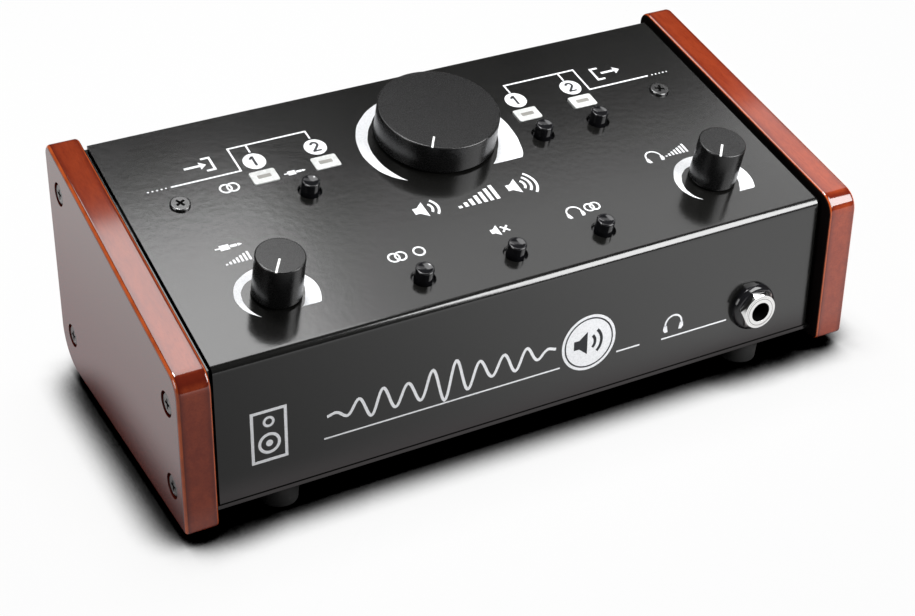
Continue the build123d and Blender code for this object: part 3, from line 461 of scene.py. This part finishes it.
def arcPoints(centre, radius, first, last, steps=24):
    made = []
    for i in range(steps + 1):
        angle = math.radians(first + (last - first) * i / steps)
        made.append((centre[0] + radius * math.cos(angle), centre[1] + radius * math.sin(angle)))
    return made


def shifted(points, centre, size=1.0):
    return [(centre[0] + x * size, centre[1] + y * size) for x, y in points]


inkThickness = 0.035            # millimetres
inkSink = 0.01                  # how far a print reaches below its surface
mitreLimit = 0.35               # a sharp corner reaches out by at most half the width over this


class Artwork:  # flat printed shapes, drawn in millimetres and laid on a surface
    def __init__(self):
        self.outlines = []

    def fill(self, points):
        self.outlines.append([tuple(p) for p in points])

    def strip(self, inner, outer):  # a band between two lines with as many points each
        for a, b, c, d in zip(inner, inner[1:], outer[1:], outer):
            self.fill([a, b, c, d])

    def stroke(self, points, width, closed=False):
        points = [Vector((p[0], p[1])) for p in points]
        count = len(points)
        left, right = [], []
        for i, point in enumerate(points):
            before = points[i - 1] if i or closed else None
            after = points[(i + 1) % count] if i < count - 1 or closed else None
            ways = [(point - before).normalized()] if before is not None else []
            ways += [(after - point).normalized()] if after is not None else []
            way = sum(ways, Vector((0, 0))).normalized()
            side = Vector((-way.y, way.x))
            reach = width / 2 / max(mitreLimit, side.dot(Vector((-ways[0].y, ways[0].x))))
            left.append(point + side * reach)
            right.append(point - side * reach)
        if closed:
            left.append(left[0])
            right.append(right[0])
        self.strip(left, right)

    def arc(self, centre, radius, first, last, width, steps=24):
        self.stroke(arcPoints(centre, radius, first, last, steps), width)

    def disc(self, centre, radius, steps=48):
        self.fill(arcPoints(centre, radius, 0, 360, steps)[:-1])

    def ring(self, centre, radius, width, steps=48):
        self.stroke(arcPoints(centre, radius, 0, 360, steps)[:-1], width, True)

    def dash(self, a, b, width, on, off):
        a, b = Vector(a), Vector(b)
        way = (b - a).normalized()
        at = 0.0
        while at < (b - a).length:
            end = min(at + on, (b - a).length)
            self.stroke([a + way * at, a + way * end], width)
            at += on + off

    def lay(self, name, place, kind, low=0.0, rise=inkThickness, body="housing"):
        corners, faces = [], []
        for outline in self.outlines:
            first, count = len(corners), len(outline)
            corners += [place(u, v, low + rise) for u, v in outline]
            corners += [place(u, v, low - inkSink) for u, v in outline]
            flat = [Vector((u, v, 0)) for u, v in outline]
            for triangle in tessellate_polygon([flat]):
                faces.append([first + i for i in triangle])
            for i in range(count):
                j = (i + 1) % count
                faces.append([first + i, first + j, first + count + j, first + count + i])
        return addPiece(name, corners, faces, kind, body)


# Plain pictograms, each about 5 mm tall at size 1.
def drawSpeaker(art, centre, size=1.0, waves=2, crossed=False):
    horn = [(-2.6, -0.9), (-1.5, -0.9), (0.2, -2.3), (0.2, 2.3), (-1.5, 0.9), (-2.6, 0.9)]
    art.fill(shifted(horn, centre, size))
    if crossed:
        for turn in (1, -1):
            line = [(1.2, -1.2 * turn), (3.6, 1.2 * turn)]
            art.stroke(shifted(line, centre, size), 0.62 * size)
    else:
        for i in range(waves):
            middle = (centre[0] + 0.1 * size, centre[1])
            art.arc(middle, (1.7 + 1.35 * i) * size, -46, 46, 0.58 * size, 14)


def drawRings(art, centre, size=1.0, count=2):
    places = [0] if count == 1 else [-1.15, 1.15]
    for x in places:
        art.ring((centre[0] + x * size, centre[1]), 1.75 * size, 0.6 * size, 32)


def drawArrow(art, centre, size=1.0, inward=True):
    if inward:
        bracket, tail, tip = [(1.2, 2.5), (3.6, 2.5), (3.6, -2.5), (1.2, -2.5)], -4.6, 1.9
    else:
        bracket, tail, tip = [(-2.0, 2.5), (-4.4, 2.5), (-4.4, -2.5), (-2.0, -2.5)], -2.0, 4.4
    art.stroke(shifted(bracket, centre, size), 0.7 * size)
    art.stroke(shifted([(tail, 0), (tip - 1.0, 0)], centre, size), 0.8 * size)
    head = [(tip, 0), (tip - 1.9, 1.5), (tip - 1.9, -1.5)]
    art.fill(shifted(head, centre, size))


def drawPlug(art, centre, size=1.0):
    art.fill(shifted([(-4.2, -1.3), (-0.6, -1.3), (-0.6, 1.3), (-4.2, 1.3)], centre, size))
    art.fill(shifted([(-0.3, -0.62), (2.3, -0.62), (2.3, 0.62), (-0.3, 0.62)], centre, size))
    tip = [(2.6, -0.62), (3.2, -0.62), (4.3, 0), (3.2, 0.62), (2.6, 0.62)]
    art.fill(shifted(tip, centre, size))
    art.stroke(shifted([(-6.0, 0), (-4.2, 0)], centre, size), 0.6 * size)


def drawPhones(art, centre, size=1.0):
    art.arc((centre[0], centre[1] - 0.4 * size), 2.7 * size, -8, 188, 0.55 * size, 30)
    for turn in (-1, 1):
        cup = [(1.75, -2.6), (2.75, -2.7), (3.35, -1.9), (3.2, -0.6), (2.2, -0.5)]
        art.fill(shifted([(x * turn, y) for x, y in cup], centre, size))


def drawWedge(art, centre, size=1.0):
    for i in range(7):
        x, tall = -4.6 + i * 1.5, 0.7 + i * 0.62
        bar = [(x, -2.1), (x + 0.85, -2.1), (x + 0.85, -2.1 + tall), (x, -2.1 + tall)]
        art.fill(shifted(bar, centre, size))


def drawDigit(art, centre, digit):  # 1 or 2, about 4.6 mm tall
    if digit == 1:
        art.stroke(shifted([(-1.2, 1.15), (-0.1, 2.1)], centre), 0.8)
        art.fill(shifted([(-0.45, -2.2), (0.43, -2.2), (0.43, 2.4), (-0.45, 2.4)], centre))
    else:
        hook = arcPoints((0, 1.05), 1.1, 172, -38, 16)
        art.stroke(shifted(hook + [(-1.1, -1.8)], centre), 0.85)
        art.fill(shifted([(-1.5, -2.2), (1.5, -2.2), (1.5, -1.5), (-1.5, -1.5)], centre))


print("stage: dials")
# Radii in millimetres, by the share of the sweep from the scale's thin end to its thick end.
dials = {
    "volume": {
        "centre": (2.8, 71.0), "start": -137, "sweep": 283, "cut": -19.7,
        "inner": {0: 25.9, 0.03: 25.4, 0.07: 24.8, 0.12: 23.9, 0.18: 22.9, 0.22: 21.9, 0.28: 20.8,
                  0.88: 20.9, 0.93: 21.1, 1: 22.5},
        "outer": {0: 25.9, 0.035: 27.0, 0.07: 27.6, 0.13: 27.4, 0.18: 26.6, 0.24: 25.6, 0.30: 24.3,
                  0.37: 23.2, 0.55: 23.0, 0.70: 23.9, 0.78: 25.1, 0.83: 26.2, 0.88: 27.7, 0.92: 29.2,
                  0.94: 29.8, 1: 32.0},
    },
    "aux": {
        "centre": (-75.7, 21.9), "start": -137, "sweep": 284, "cut": -7.9,
        "inner": {0: 11.3, 0.10: 10.9, 0.21: 10.5, 0.29: 9.7, 0.35: 8.8, 0.78: 8.8, 0.84: 8.4,
                  0.89: 8.3, 1: 9.3},
        "outer": {0: 11.35, 0.10: 12.45, 0.16: 12.75, 0.22: 12.65, 0.28: 12.4, 0.35: 11.8, 0.42: 11.5,
                  0.60: 11.3, 0.72: 11.5, 0.78: 12.4, 0.83: 12.8, 0.88: 13.1, 0.92: 13.4, 1: 14.4},
    },
    "phones": {
        "centre": (78.7, 21.9), "start": -138, "sweep": 284, "cut": -8.95,
        "inner": {0: 12.4, 0.05: 12.4, 0.10: 12.0, 0.155: 11.1, 0.215: 10.1, 0.285: 9.1, 0.37: 7.9,
                  0.87: 8.35, 0.94: 8.9, 1: 10.0},
        "outer": {0: 12.45, 0.05: 13.1, 0.11: 13.4, 0.18: 13.1, 0.25: 12.4, 0.30: 12.15, 0.38: 11.5,
                  0.46: 10.9, 0.77: 12.1, 0.82: 12.7, 0.88: 13.4, 0.93: 13.9, 1: 14.9},
    },
}
dialSteps = 110
cutFrom = 0.6                   # share of the sweep after which the thick end is cut off level
easing = 0.35                   # how much a radius eases in and out between two rows


def readBetween(table, at):
    keys = sorted(table)
    for low, high in zip(keys, keys[1:]):
        if at <= high:
            share = (at - low) / (high - low)
            share = share * share * (3 - 2 * share) * easing + share * (1 - easing)
            return table[low] + (table[high] - table[low]) * share
    return table[keys[-1]]


def drawDial(art, dial):
    inner, outer = [], []
    for i in range(dialSteps + 1):
        share = i / dialSteps
        angle = math.radians(dial["start"] - dial["sweep"] * share)
        near = readBetween(dial["inner"], share)
        far = max(near, readBetween(dial["outer"], share))
        if share > cutFrom and math.sin(angle) < 0:
            far = max(near, min(far, dial["cut"] / math.sin(angle)))
            near = min(near, far)
        for line, radius in ((inner, near), (outer, far)):
            x = dial["centre"][0] + radius * math.cos(angle)
            line.append((x, dial["centre"][1] + radius * math.sin(angle)))
    art.strip(inner, outer)


panelArt = Artwork()
for dial in dials.values():
    drawDial(panelArt, dial)

print("stage: printing")
panelLines = {                  # they join the channel numbers
    "width": 0.62,
    "dotted": [[(-95.4, 75.0), (-89.0, 75.0)], [(90.2, 74.8), (96.6, 74.8)]],
    "dotWidth": 0.5,
    "dot": 0.55,
    "gap": 0.95,
    "whole": [
        [(-87.6, 75.0), (-64.0, 75.0), (-64.0, 86.1), (-36.8, 86.1), (-36.8, 82.3)],
        [(-57.8, 86.1), (-57.8, 82.3)],
        [(37.7, 81.9), (37.7, 86.1), (65.1, 86.1), (65.1, 74.8), (88.7, 74.8)],
        [(58.9, 86.1), (58.9, 82.0)],
    ],
}
channels = {
    "input1": {"across": -58.2, "number": 1, "window": "input_1_window"},
    "input2": {"across": -36.9, "number": 2, "window": "input_2_window"},
    "output1": {"across": 37.6, "number": 1, "window": "output_1_window"},
    "output2": {"across": 59.2, "number": 2, "window": "output_2_window"},
}
numberDisc = {"up": 77.9, "radius": 3.75}
pictograms = [                  # what each control does: drawing, place, size and kind
    (drawArrow, (-75.4, 81.4), 1.15, {"inward": True}),
    (drawArrow, (76.0, 81.4), 1.15, {"inward": False}),
    (drawRings, (-70.6, 68.8), 1.05, {"count": 2}),
    (drawPlug, (-47.6, 68.9), 0.72, {}),
    (drawPlug, (-80.6, 44.4), 0.85, {}),
    (drawWedge, (-81.2, 38.9), 0.85, {}),
    (drawSpeaker, (-17.5, 39.4), 1.45, {"waves": 2}),
    (drawWedge, (0.0, 39.2), 1.5, {}),
    (drawSpeaker, (15.8, 39.4), 1.45, {"waves": 3}),
    (drawRings, (-35.4, 23.2), 1.0, {"count": 2}),
    (drawRings, (-28.0, 23.2), 1.0, {"count": 1}),
    (drawSpeaker, (-0.4, 23.2), 1.0, {"crossed": True}),
    (drawPhones, (26.6, 22.6), 0.95, {}),
    (drawRings, (33.4, 22.8), 0.9, {"count": 2}),
    (drawPhones, (66.0, 37.2), 1.0, {}),
    (drawWedge, (74.2, 37.4), 0.9, {}),
]
for line in panelLines["dotted"]:
    panelArt.dash(*line, panelLines["dotWidth"], panelLines["dot"], panelLines["gap"])
for line in panelLines["whole"]:
    panelArt.stroke(line, panelLines["width"])
for channel in channels.values():
    panelArt.disc((channel["across"], numberDisc["up"]), numberDisc["radius"])
for draw, place, size, kind in pictograms:
    draw(panelArt, place, size, **kind)
panelArt.lay("panelPrinting", onPanel, "whiteInk")

coverScrews = {
    "head": 3.3,                # radius, millimetres
    "up": 66.5,
    "turns": [29, 62],          # degrees, left and right
    "arm": 3.3,
    "width": 0.84,
    "rise": 0.62,
    "thickness": 0.05,
}
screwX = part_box("cover_screws")[1].x / mm - coverScrews["head"]
# Painted shade: near-black crosses laid on the cover screws' heads stand in for the shade in their cross
# recesses.
recessShadeArt = Artwork()
for side, turn in zip((-1, 1), coverScrews["turns"]):
    middle = Vector((side * screwX, coverScrews["up"]))
    for angle in (math.radians(turn), math.radians(turn + 90)):
        half = Vector((math.cos(angle), math.sin(angle))) * coverScrews["arm"] / 2
        recessShadeArt.stroke([middle - half, middle + half], coverScrews["width"])
recessShadeArt.lay("coverScrewCrosses", onPanel, "pit", coverScrews["rise"], coverScrews["thickness"])

overprint = {"low": inkThickness, "rise": 0.03}
numberArt = Artwork()
for channel in channels.values():
    drawDigit(numberArt, (channel["across"], numberDisc["up"]), channel["number"])
numberArt.lay("channelNumbers", onPanel, "darkInk", **overprint)

# Plain signs, a wave line and rules on the face.
faceSigns = {
    "cabinet": [(-94.2, 15.1), (-83.6, 15.1), (-83.6, 31.9), (-94.2, 31.9)],
    "line": 0.95,
    "woofer": (-88.9, 20.8),
    "wooferRadius": 3.1,
    "capRadius": 1.1,
    "tweeter": (-88.9, 28.2),
    "tweeterRadius": 1.45,
    "tweeterLine": 0.8,
    "rules": [[(-71.6, 16.4), (9.2, 16.4)], [(30.0, 16.2), (38.7, 16.2)], [(47.0, 15.7), (72.2, 15.7)]],
    "ruleLine": 0.5,
    "phones": (51.3, 20.8),
    "phonesSize": 1.15,
    "badge": (19.5, 22.7),
    "badgeRadius": 9.8,
    "badgeRing": 8.6,
    "badgeSpeaker": (18.6, 22.7),
    "badgeSpeakerSize": 1.75,
}
waveLine = {"start": -70.5, "length": 78.0, "height": 23.9, "swing": 6.6, "halfWaves": 19, "steps": 180}


def wavePoints(wave):
    made = []
    for i in range(wave["steps"] + 1):
        share = i / wave["steps"]
        swell = math.sin(math.pi * share) ** 0.8 * (0.55 + 0.45 * math.sin(share * 9.0) ** 2)
        swing = wave["swing"] * swell * math.sin(share * math.pi * wave["halfWaves"])
        made.append((wave["start"] + wave["length"] * share, wave["height"] + swing))
    return made


faceArt = Artwork()
faceArt.stroke(faceSigns["cabinet"], faceSigns["line"], True)
faceArt.ring(faceSigns["woofer"], faceSigns["wooferRadius"], faceSigns["line"])
faceArt.disc(faceSigns["woofer"], faceSigns["capRadius"])
faceArt.ring(faceSigns["tweeter"], faceSigns["tweeterRadius"], faceSigns["tweeterLine"], 32)
faceArt.stroke(wavePoints(waveLine), faceSigns["line"])
for line in faceSigns["rules"]:
    faceArt.stroke(line, faceSigns["ruleLine"])
faceArt.disc(faceSigns["badge"], faceSigns["badgeRadius"], 72)
drawPhones(faceArt, faceSigns["phones"], faceSigns["phonesSize"])
faceArt.lay("facePrinting", onFace, "whiteInk")
badgeArt = Artwork()
drawSpeaker(badgeArt, faceSigns["badgeSpeaker"], faceSigns["badgeSpeakerSize"])
badgeArt.ring(faceSigns["badge"], faceSigns["badgeRing"], faceSigns["ruleLine"], 72)
badgeArt.lay("badgeMark", onFace, "darkInk", **overprint)

rearRow = {"count": 6, "pitch": 29.5}  # the connectors, and millimetres from one to the next
rearPrint = {
    "ruleUp": 17.1,             # above the middle of the connectors
    "ruleHalf": 4.0,
    "ruleLine": 0.5,
    "signUp": 20.1,
    "signSize": 0.62,
    "signs": [(-2, True), (1, False)],  # pitches from the middle, and whether the arrow points in
}
rowZ = middleHeight("output_connector_1")
upperZ = middleHeight("power_inlet")


def connectorX(index):  # counted from the right, seen from behind
    return (index - (rearRow["count"] - 1) / 2) * rearRow["pitch"]


rearArt = Artwork()
for i in range(rearRow["count"]):
    height = rowZ + rearPrint["ruleUp"]
    ends = [(connectorX(i) + reach, height) for reach in (-rearPrint["ruleHalf"], rearPrint["ruleHalf"])]
    rearArt.stroke(ends, rearPrint["ruleLine"])
for pitches, inward in rearPrint["signs"]:
    centre = (pitches * rearRow["pitch"], rowZ + rearPrint["signUp"])
    drawArrow(rearArt, centre, rearPrint["signSize"], inward)
rearArt.lay("rearPrinting", onRear, "whiteInk")


print("stage: windows")
windowLook = {
    "up": 70.1,
    "width": 8.75,
    "height": 5.8,
    "corner": 0.7,
    "deep": 2.4,
    "proud": 0.28,
    "bevel": 0.22,
    "ledShadowSize": (4.6, 1.6),
    "ledShadowCorner": 0.25,
    "ledShadowThickness": 0.012,
}


def roundedOutline(width, height, corner, steps=6):
    made = []
    for cx, cy, start in ((1, 1, 0), (-1, 1, 90), (-1, -1, 180), (1, -1, 270)):
        centre = (cx * (width / 2 - corner), cy * (height / 2 - corner))
        made += arcPoints(centre, corner, start, start + 90, steps)
    return made


def stackOutlines(place, layers):  # closed body from outlines at growing heights
    corners, faces = [], []
    for outline, rise in layers:
        corners += [place(u, v, rise) for u, v in outline]
    count = len(layers[0][0])
    for k in range(len(layers) - 1):
        for i in range(count):
            j = (i + 1) % count
            a, b = k * count, (k + 1) * count
            faces.append([a + i, a + j, b + j, b + i])
    faces.append(list(range(count))[::-1])
    faces.append([(len(layers) - 1) * count + i for i in range(count)])
    return corners, faces


def lensLayers(look):
    straight = roundedOutline(look["width"], look["height"], look["corner"])
    shoulder = look["proud"] - look["bevel"]
    layers = [(straight, -look["deep"]), (straight, shoulder)]
    for turn in (22.5, 45, 67.5, 90):
        inset = look["bevel"] * (1 - math.cos(math.radians(turn)))
        size = (look["width"] - 2 * inset, look["height"] - 2 * inset)
        outline = roundedOutline(*size, look["corner"] - inset)
        layers.append((outline, shoulder + look["bevel"] * math.sin(math.radians(turn))))
    return layers


def addWindow(name, channel, look):
    def onWindow(u, v, rise):
        return onPanel(channel["across"] + u, look["up"] + v, rise)

    corners, faces = stackOutlines(onWindow, lensLayers(look))
    lens = addPiece(name + "Lens", corners, faces, "window", smooth=True)
    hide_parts(channel["window"])
    # Painted shadow: the grey patch on the lens stands in for the LED's shadow behind the diffuser.
    ledShadowArt = Artwork()
    ledShadowArt.fill(roundedOutline(*look["ledShadowSize"], look["ledShadowCorner"], 3))
    ledShadowArt.lay(name + "LedShadow", onWindow, "ledShadowGrey", look["proud"], look["ledShadowThickness"])


for name, channel in channels.items():
    addWindow(name, channel, windowLook)


print("stage: pointers")
knobs = {
    "volume": {"top": 10.6, "inner": 14.4, "outer": 19.93, "turn": -124},
    "aux": {"top": 14.8, "inner": 1.4, "outer": 7.45, "turn": -124},
    "phones": {"top": 14.8, "inner": 1.4, "outer": 7.45, "turn": -130},
}
pointerLook = {"width": 0.66, "sink": 0.24, "thickness": 0.22}
for name, knob in knobs.items():
    angle = math.radians(knob["turn"])
    way = Vector((math.cos(angle), math.sin(angle)))
    middle = Vector(dials[name]["centre"])
    line = Artwork()
    line.stroke([middle + way * knob["inner"], middle + way * knob["outer"]], pointerLook["width"])
    low = knob["top"] - pointerLook["sink"]
    line.lay(name + "Pointer", onPanel, "pointerInk", low, pointerLook["thickness"], name + "_control")


def turned(name, place, profile, kind, steps=48):
    # turned about the line out of a surface; profile is radius and height, a ring if it ends where it starts
    ring = profile[0] == profile[-1]
    rows = profile[:-1] if ring else profile
    corners, faces = [], []
    for radius, height in rows:
        for i in range(steps):
            angle = 2 * math.pi * i / steps
            corners.append(place(radius * math.cos(angle), radius * math.sin(angle), height))
    for k in range(len(profile) - 1):
        low, high = k * steps, (k + 1) % len(rows) * steps
        for i in range(steps):
            j = (i + 1) % steps
            faces.append([low + i, low + j, high + j, high + i])
    if not ring:
        faces.append(list(range(steps)))
        faces.append([(len(rows) - 1) * steps + i for i in range(steps)])
    return addPiece(name, corners, faces, kind, smooth=True)


print("stage: jack")
jack = {
    "hole": 3.28,               # radius, millimetres
    "outside": 4.74,
    "front": 4.93,              # distance before the face
    "lip": 0.10,
    "cone": 0.45,
    "sleeveDepth": 9.0,
}
jackLow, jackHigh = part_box("phones_jack_nut")
jackMiddle = (jackLow + jackHigh) / 2


def onJack(u, v, reach):
    return Vector((jackMiddle.x + u * mm, faceY - reach * mm, jackMiddle.z + v * mm))


hole, outside, front = jack["hole"], jack["outside"], jack["front"]
rim, back = front - jack["lip"], front - jack["sleeveDepth"]
bushShape = [
    (outside, rim), (outside + jack["cone"], front - 0.18), (outside - 0.3, front),
    (hole + jack["lip"], front), (hole, rim), (hole, rim - 0.5), (hole + 0.2, rim - 0.5),
    (outside, rim),
]
# Painted shade: a near-black sleeve lines the bore and stands in for the shade inside the hole.
boreShadeSleeve = [
    (hole + 0.08, front + 0.01), (hole + 0.08, front - 0.3), (hole, back), (hole - 0.06, back),
    (hole - 0.06, front + 0.01), (hole + 0.08, front + 0.01),
]
turned("jackBush", onJack, bushShape, "chrome", 64)
turned("jackBore", onJack, boreShadeSleeve, "pit", 64)

print("stage: rear")
phono = {
    "across": [-66.5, -51.5],
    "rings": ["redRing", "whiteRing"],
    "shell": [(4.19, 1.2), (4.19, 8.6), (3.95, 9.03), (3.25, 9.03), (3.25, 8.3), (3.6, 8.3), (3.6, 1.2),
              (4.19, 1.2)],
    "ring": [(3.2, 8.7), (3.2, 9.02), (1.95, 9.02), (1.95, 8.7), (3.2, 8.7)],
}
outputs = {
    "first": 2,                 # its place in the row of connectors
    "count": 4,
    "pins": {"a": (-3.8, 0), "b": (0, -3.8), "c": (3.8, 0)},
    "pin": [(1.23, -12.9), (1.23, -1.5), (1.05, -1.15), (0.6, -0.98)],
}
inlet = {"across": 38.0, "pin": [(1.03, -8.4), (1.03, 0.2), (0.8, 0.48), (0.4, 0.52)]}


def aroundRear(x, z):
    return lambda u, v, rise: onRear(x + u, z + v, rise)


for i, (x, ring) in enumerate(zip(phono["across"], phono["rings"]), 1):
    turned(f"phonoShell{i}", aroundRear(x, upperZ), phono["shell"], "chrome")
    turned(f"phonoRing{i}", aroundRear(x, upperZ), phono["ring"], ring)
for i in range(outputs["count"]):
    x = connectorX(outputs["first"] + i)
    for letter, (dx, dz) in outputs["pins"].items():
        turned(f"outputPin{i + 1}{letter}", aroundRear(x + dx, rowZ + dz), outputs["pin"], "brass", 20)
turned("powerPin", aroundRear(inlet["across"], upperZ), inlet["pin"], "brass", 20)

rocker = {
    "across": 68.0,
    "pivotDepth": 3.5,          # behind the rear sheet's outer side
    "tilt": 8,                  # at rest, degrees
    "vee": 16,                  # between the two halves
    "half": 4.8,
    "end": 6.9,                 # from the pivot to an end's face
    "markRise": 0.03,
}


def onRocker(side):  # 1 is the upper half, -1 the lower one
    tilt = math.radians(rocker["tilt"])
    outward = Vector((0, math.cos(tilt), math.sin(tilt)))
    upward = Vector((0, -math.sin(tilt), math.cos(tilt)))
    pivot = Vector((-rocker["across"] * mm, rearY - rocker["pivotDepth"] * mm, upperZ * mm))
    end = rocker["end"]
    ridge = end - rocker["half"] * math.tan(math.radians(rocker["vee"]))

    def place(u, v, rise):  # v runs from the ridge to the end
        depth = ridge + (end - ridge) * abs(v) / rocker["half"] + rise
        return pivot + Vector((-u * mm, 0, 0)) + outward * (depth * mm) + upward * (v * side * mm)

    return place


offMark = Artwork()
offMark.ring((0, 2.6), 1.15, 0.42, 28)
offMark.lay("rockerOffMark", onRocker(-1), "whiteInk", 0.0, rocker["markRise"], "power_toggle")
onMark = Artwork()
onMark.stroke([(0, 1.4), (0, 3.8)], 0.45)
onMark.lay("rockerOnMark", onRocker(1), "whiteInk", 0.0, rocker["markRise"], "power_toggle")


print("stage: studio")
studio = {
    "floorReach": 4.0,
    "floorColour": (0.985, 0.985, 0.985),
    # Painted shade on the table, seen only by the unit's reflections and bounced light.
    "paintedShadeFront": {"colour": (0.31, 0.31, 0.31), "x": (0.13, -0.12), "y": (-0.02, -0.06)},
    "paintedShadeSide": {"colour": (0.62, 0.57, 0.58), "x": (-0.170, -0.112), "y": (-0.075, -0.060)},
    "plainShare": 0.85,         # how much of the table is plain white near the unit
    "contact": 22.0,            # reach of the contact shadow, millimetres
    "openSky": (0.56, 0.90),    # black below the first share of open sky, white above the second
    "surround": 0.05,           # light from all round
    "clear": (0.30, 0.62),      # the floor turns into plain white between these distances
}


def makeFloorPaint(look):
    paint = Paint("floorPaint", {"Roughness": 0.9, "IOR": 1.1})
    cameraRay = paint.node("ShaderNodeLightPath", output="Is Camera Ray")
    glossyRay = paint.node("ShaderNodeLightPath", output="Is Glossy Ray")
    reach = {"Distance": look["contact"] * mm}
    openSky = paint.node("ShaderNodeAmbientOcclusion", {"samples": 32}, reach, 1).step(*look["openSky"])
    # Painted shade: the unit itself sees a table that is darker in front on the left, and beside it, so its
    # reflections of the table are darker there.
    bounced = look["floorColour"]
    for dark in (look["paintedShadeFront"], look["paintedShadeSide"]):
        there = paint.placePart(0).step(*dark["x"]) * paint.placePart(1).step(*dark["y"])
        bounced = paint.blend(bounced, dark["colour"], there)
    table = paint.blend((0, 0, 0), paint.blend(bounced, look["floorColour"], cameraRay), openSky)
    paint.set("Base Color", table)
    plainWhite = paint.node("ShaderNodeEmission", {}, {"Color": table})
    farOut = paint.node("ShaderNodeVectorMath", {"operation": "LENGTH"}, {0: paint.place}, 1)
    plain = farOut.step(*look["clear"]) * (1 - look["plainShare"]) + look["plainShare"]
    sockets = {0: plain * cameraRay + glossyRay, 1: paint.surface, 2: plainWhite}
    paint.feed(paint.output.made.inputs[0], paint.node("ShaderNodeMixShader", {}, sockets))
    return paint.material


far = studio["floorReach"]
floorMesh = bpy.data.meshes.new("floor")
floorMesh.from_pydata([(-far, -far, 0), (far, -far, 0), (far, far, 0), (-far, far, 0)], [], [(0, 1, 2, 3)])
floorMesh.materials.append(makeFloorPaint(studio))
floor = bpy.data.objects.new("floor", floorMesh)
bpy.context.scene.collection.objects.link(floor)

world = bpy.data.worlds.new("studioAir")
bpy.context.scene.world = world
air = Recipe(world)
soft = air.node("ShaderNodeBackground", {}, {"Color": (1, 1, 1), "Strength": studio["surround"]})
shown = air.node("ShaderNodeBackground", {}, {"Color": (1, 1, 1), "Strength": 1.0})
ray = air.node("ShaderNodeLightPath", output="Is Camera Ray")
air.node("ShaderNodeOutputWorld", {}, {0: air.node("ShaderNodeMixShader", {}, {0: ray, 1: soft, 2: shown})})

# Soft boxes; glow is how bright a lamp itself would look, where 1 is white.
lamps = {
    "core": {"place": (-0.11, 0.09, 1.2), "aim": (-0.11, 0.09, 0.0), "size": (0.30, 0.30), "glow": 30.0},
    "wide": {"place": (0.115, 0.31, 1.21), "aim": (0.115, 0.31, 0.0), "size": (0.63, 0.75), "glow": 4.3},
    "right": {"place": (0.87, 0.42, 1.2), "aim": (0.87, 0.42, 0.0), "size": (0.90, 0.42), "glow": 1.35},
    "farRight": {"place": (1.33, 0.57, 1.2), "aim": (1.33, 0.57, 0.0), "size": (0.48, 0.30), "glow": 4.6},
    "frontRight": {"place": (0.20, -0.225, 0.225), "aim": (0.08, -0.055, 0.055), "size": (0.21, 0.22),
                   "glow": 11.0, "missesFloor": True},
    "left": {"place": (-1.2, -0.25, 0.50), "aim": (-0.117, 0.0, 0.04), "size": (0.6, 0.6), "glow": 4.8,
             "missesFloor": True},
}
allButFloor = bpy.data.collections.new("allButFloor")
allButFloor.objects.link(floor)
allButFloor.collection_objects[0].light_linking.link_state = "EXCLUDE"
for name, lamp in lamps.items():
    light = bpy.data.lights.new(name, "AREA")
    light.shape = "RECTANGLE"
    light.size, light.size_y = lamp["size"]
    light.energy = lamp["glow"] * math.pi * light.size * light.size_y
    holder = bpy.data.objects.new(name, light)
    bpy.context.scene.collection.objects.link(holder)
    holder.location = lamp["place"]
    holder.rotation_mode = "QUATERNION"
    holder.rotation_quaternion = (Vector(lamp["aim"]) - Vector(lamp["place"])).to_track_quat("-Z", "Y")
    holder.visible_camera = False
    if lamp.get("missesFloor"):
        holder.light_linking.receiver_collection = allButFloor

cameraLook = {
    "place": (-0.25290, -0.44035, 0.32644),
    "turn": (63.273, 1.511, -25.383),
    "lens": 70.193,
    "sensor": 36,
    "shift": (0.1656, -0.1563),
    "clip": (0.01, 20),
}
cameraData = bpy.data.cameras.new("viewer")
camera = bpy.data.objects.new("viewer", cameraData)
bpy.context.scene.collection.objects.link(camera)
camera.location = cameraLook["place"]
camera.rotation_euler = [math.radians(angle) for angle in cameraLook["turn"]]
cameraData.lens = cameraLook["lens"]
cameraData.sensor_width = cameraLook["sensor"]
cameraData.shift_x, cameraData.shift_y = cameraLook["shift"]
cameraData.clip_start, cameraData.clip_end = cameraLook["clip"]
bpy.context.scene.camera = camera
bpy.context.scene.view_settings.view_transform = "Standard"

print("stage: finish")
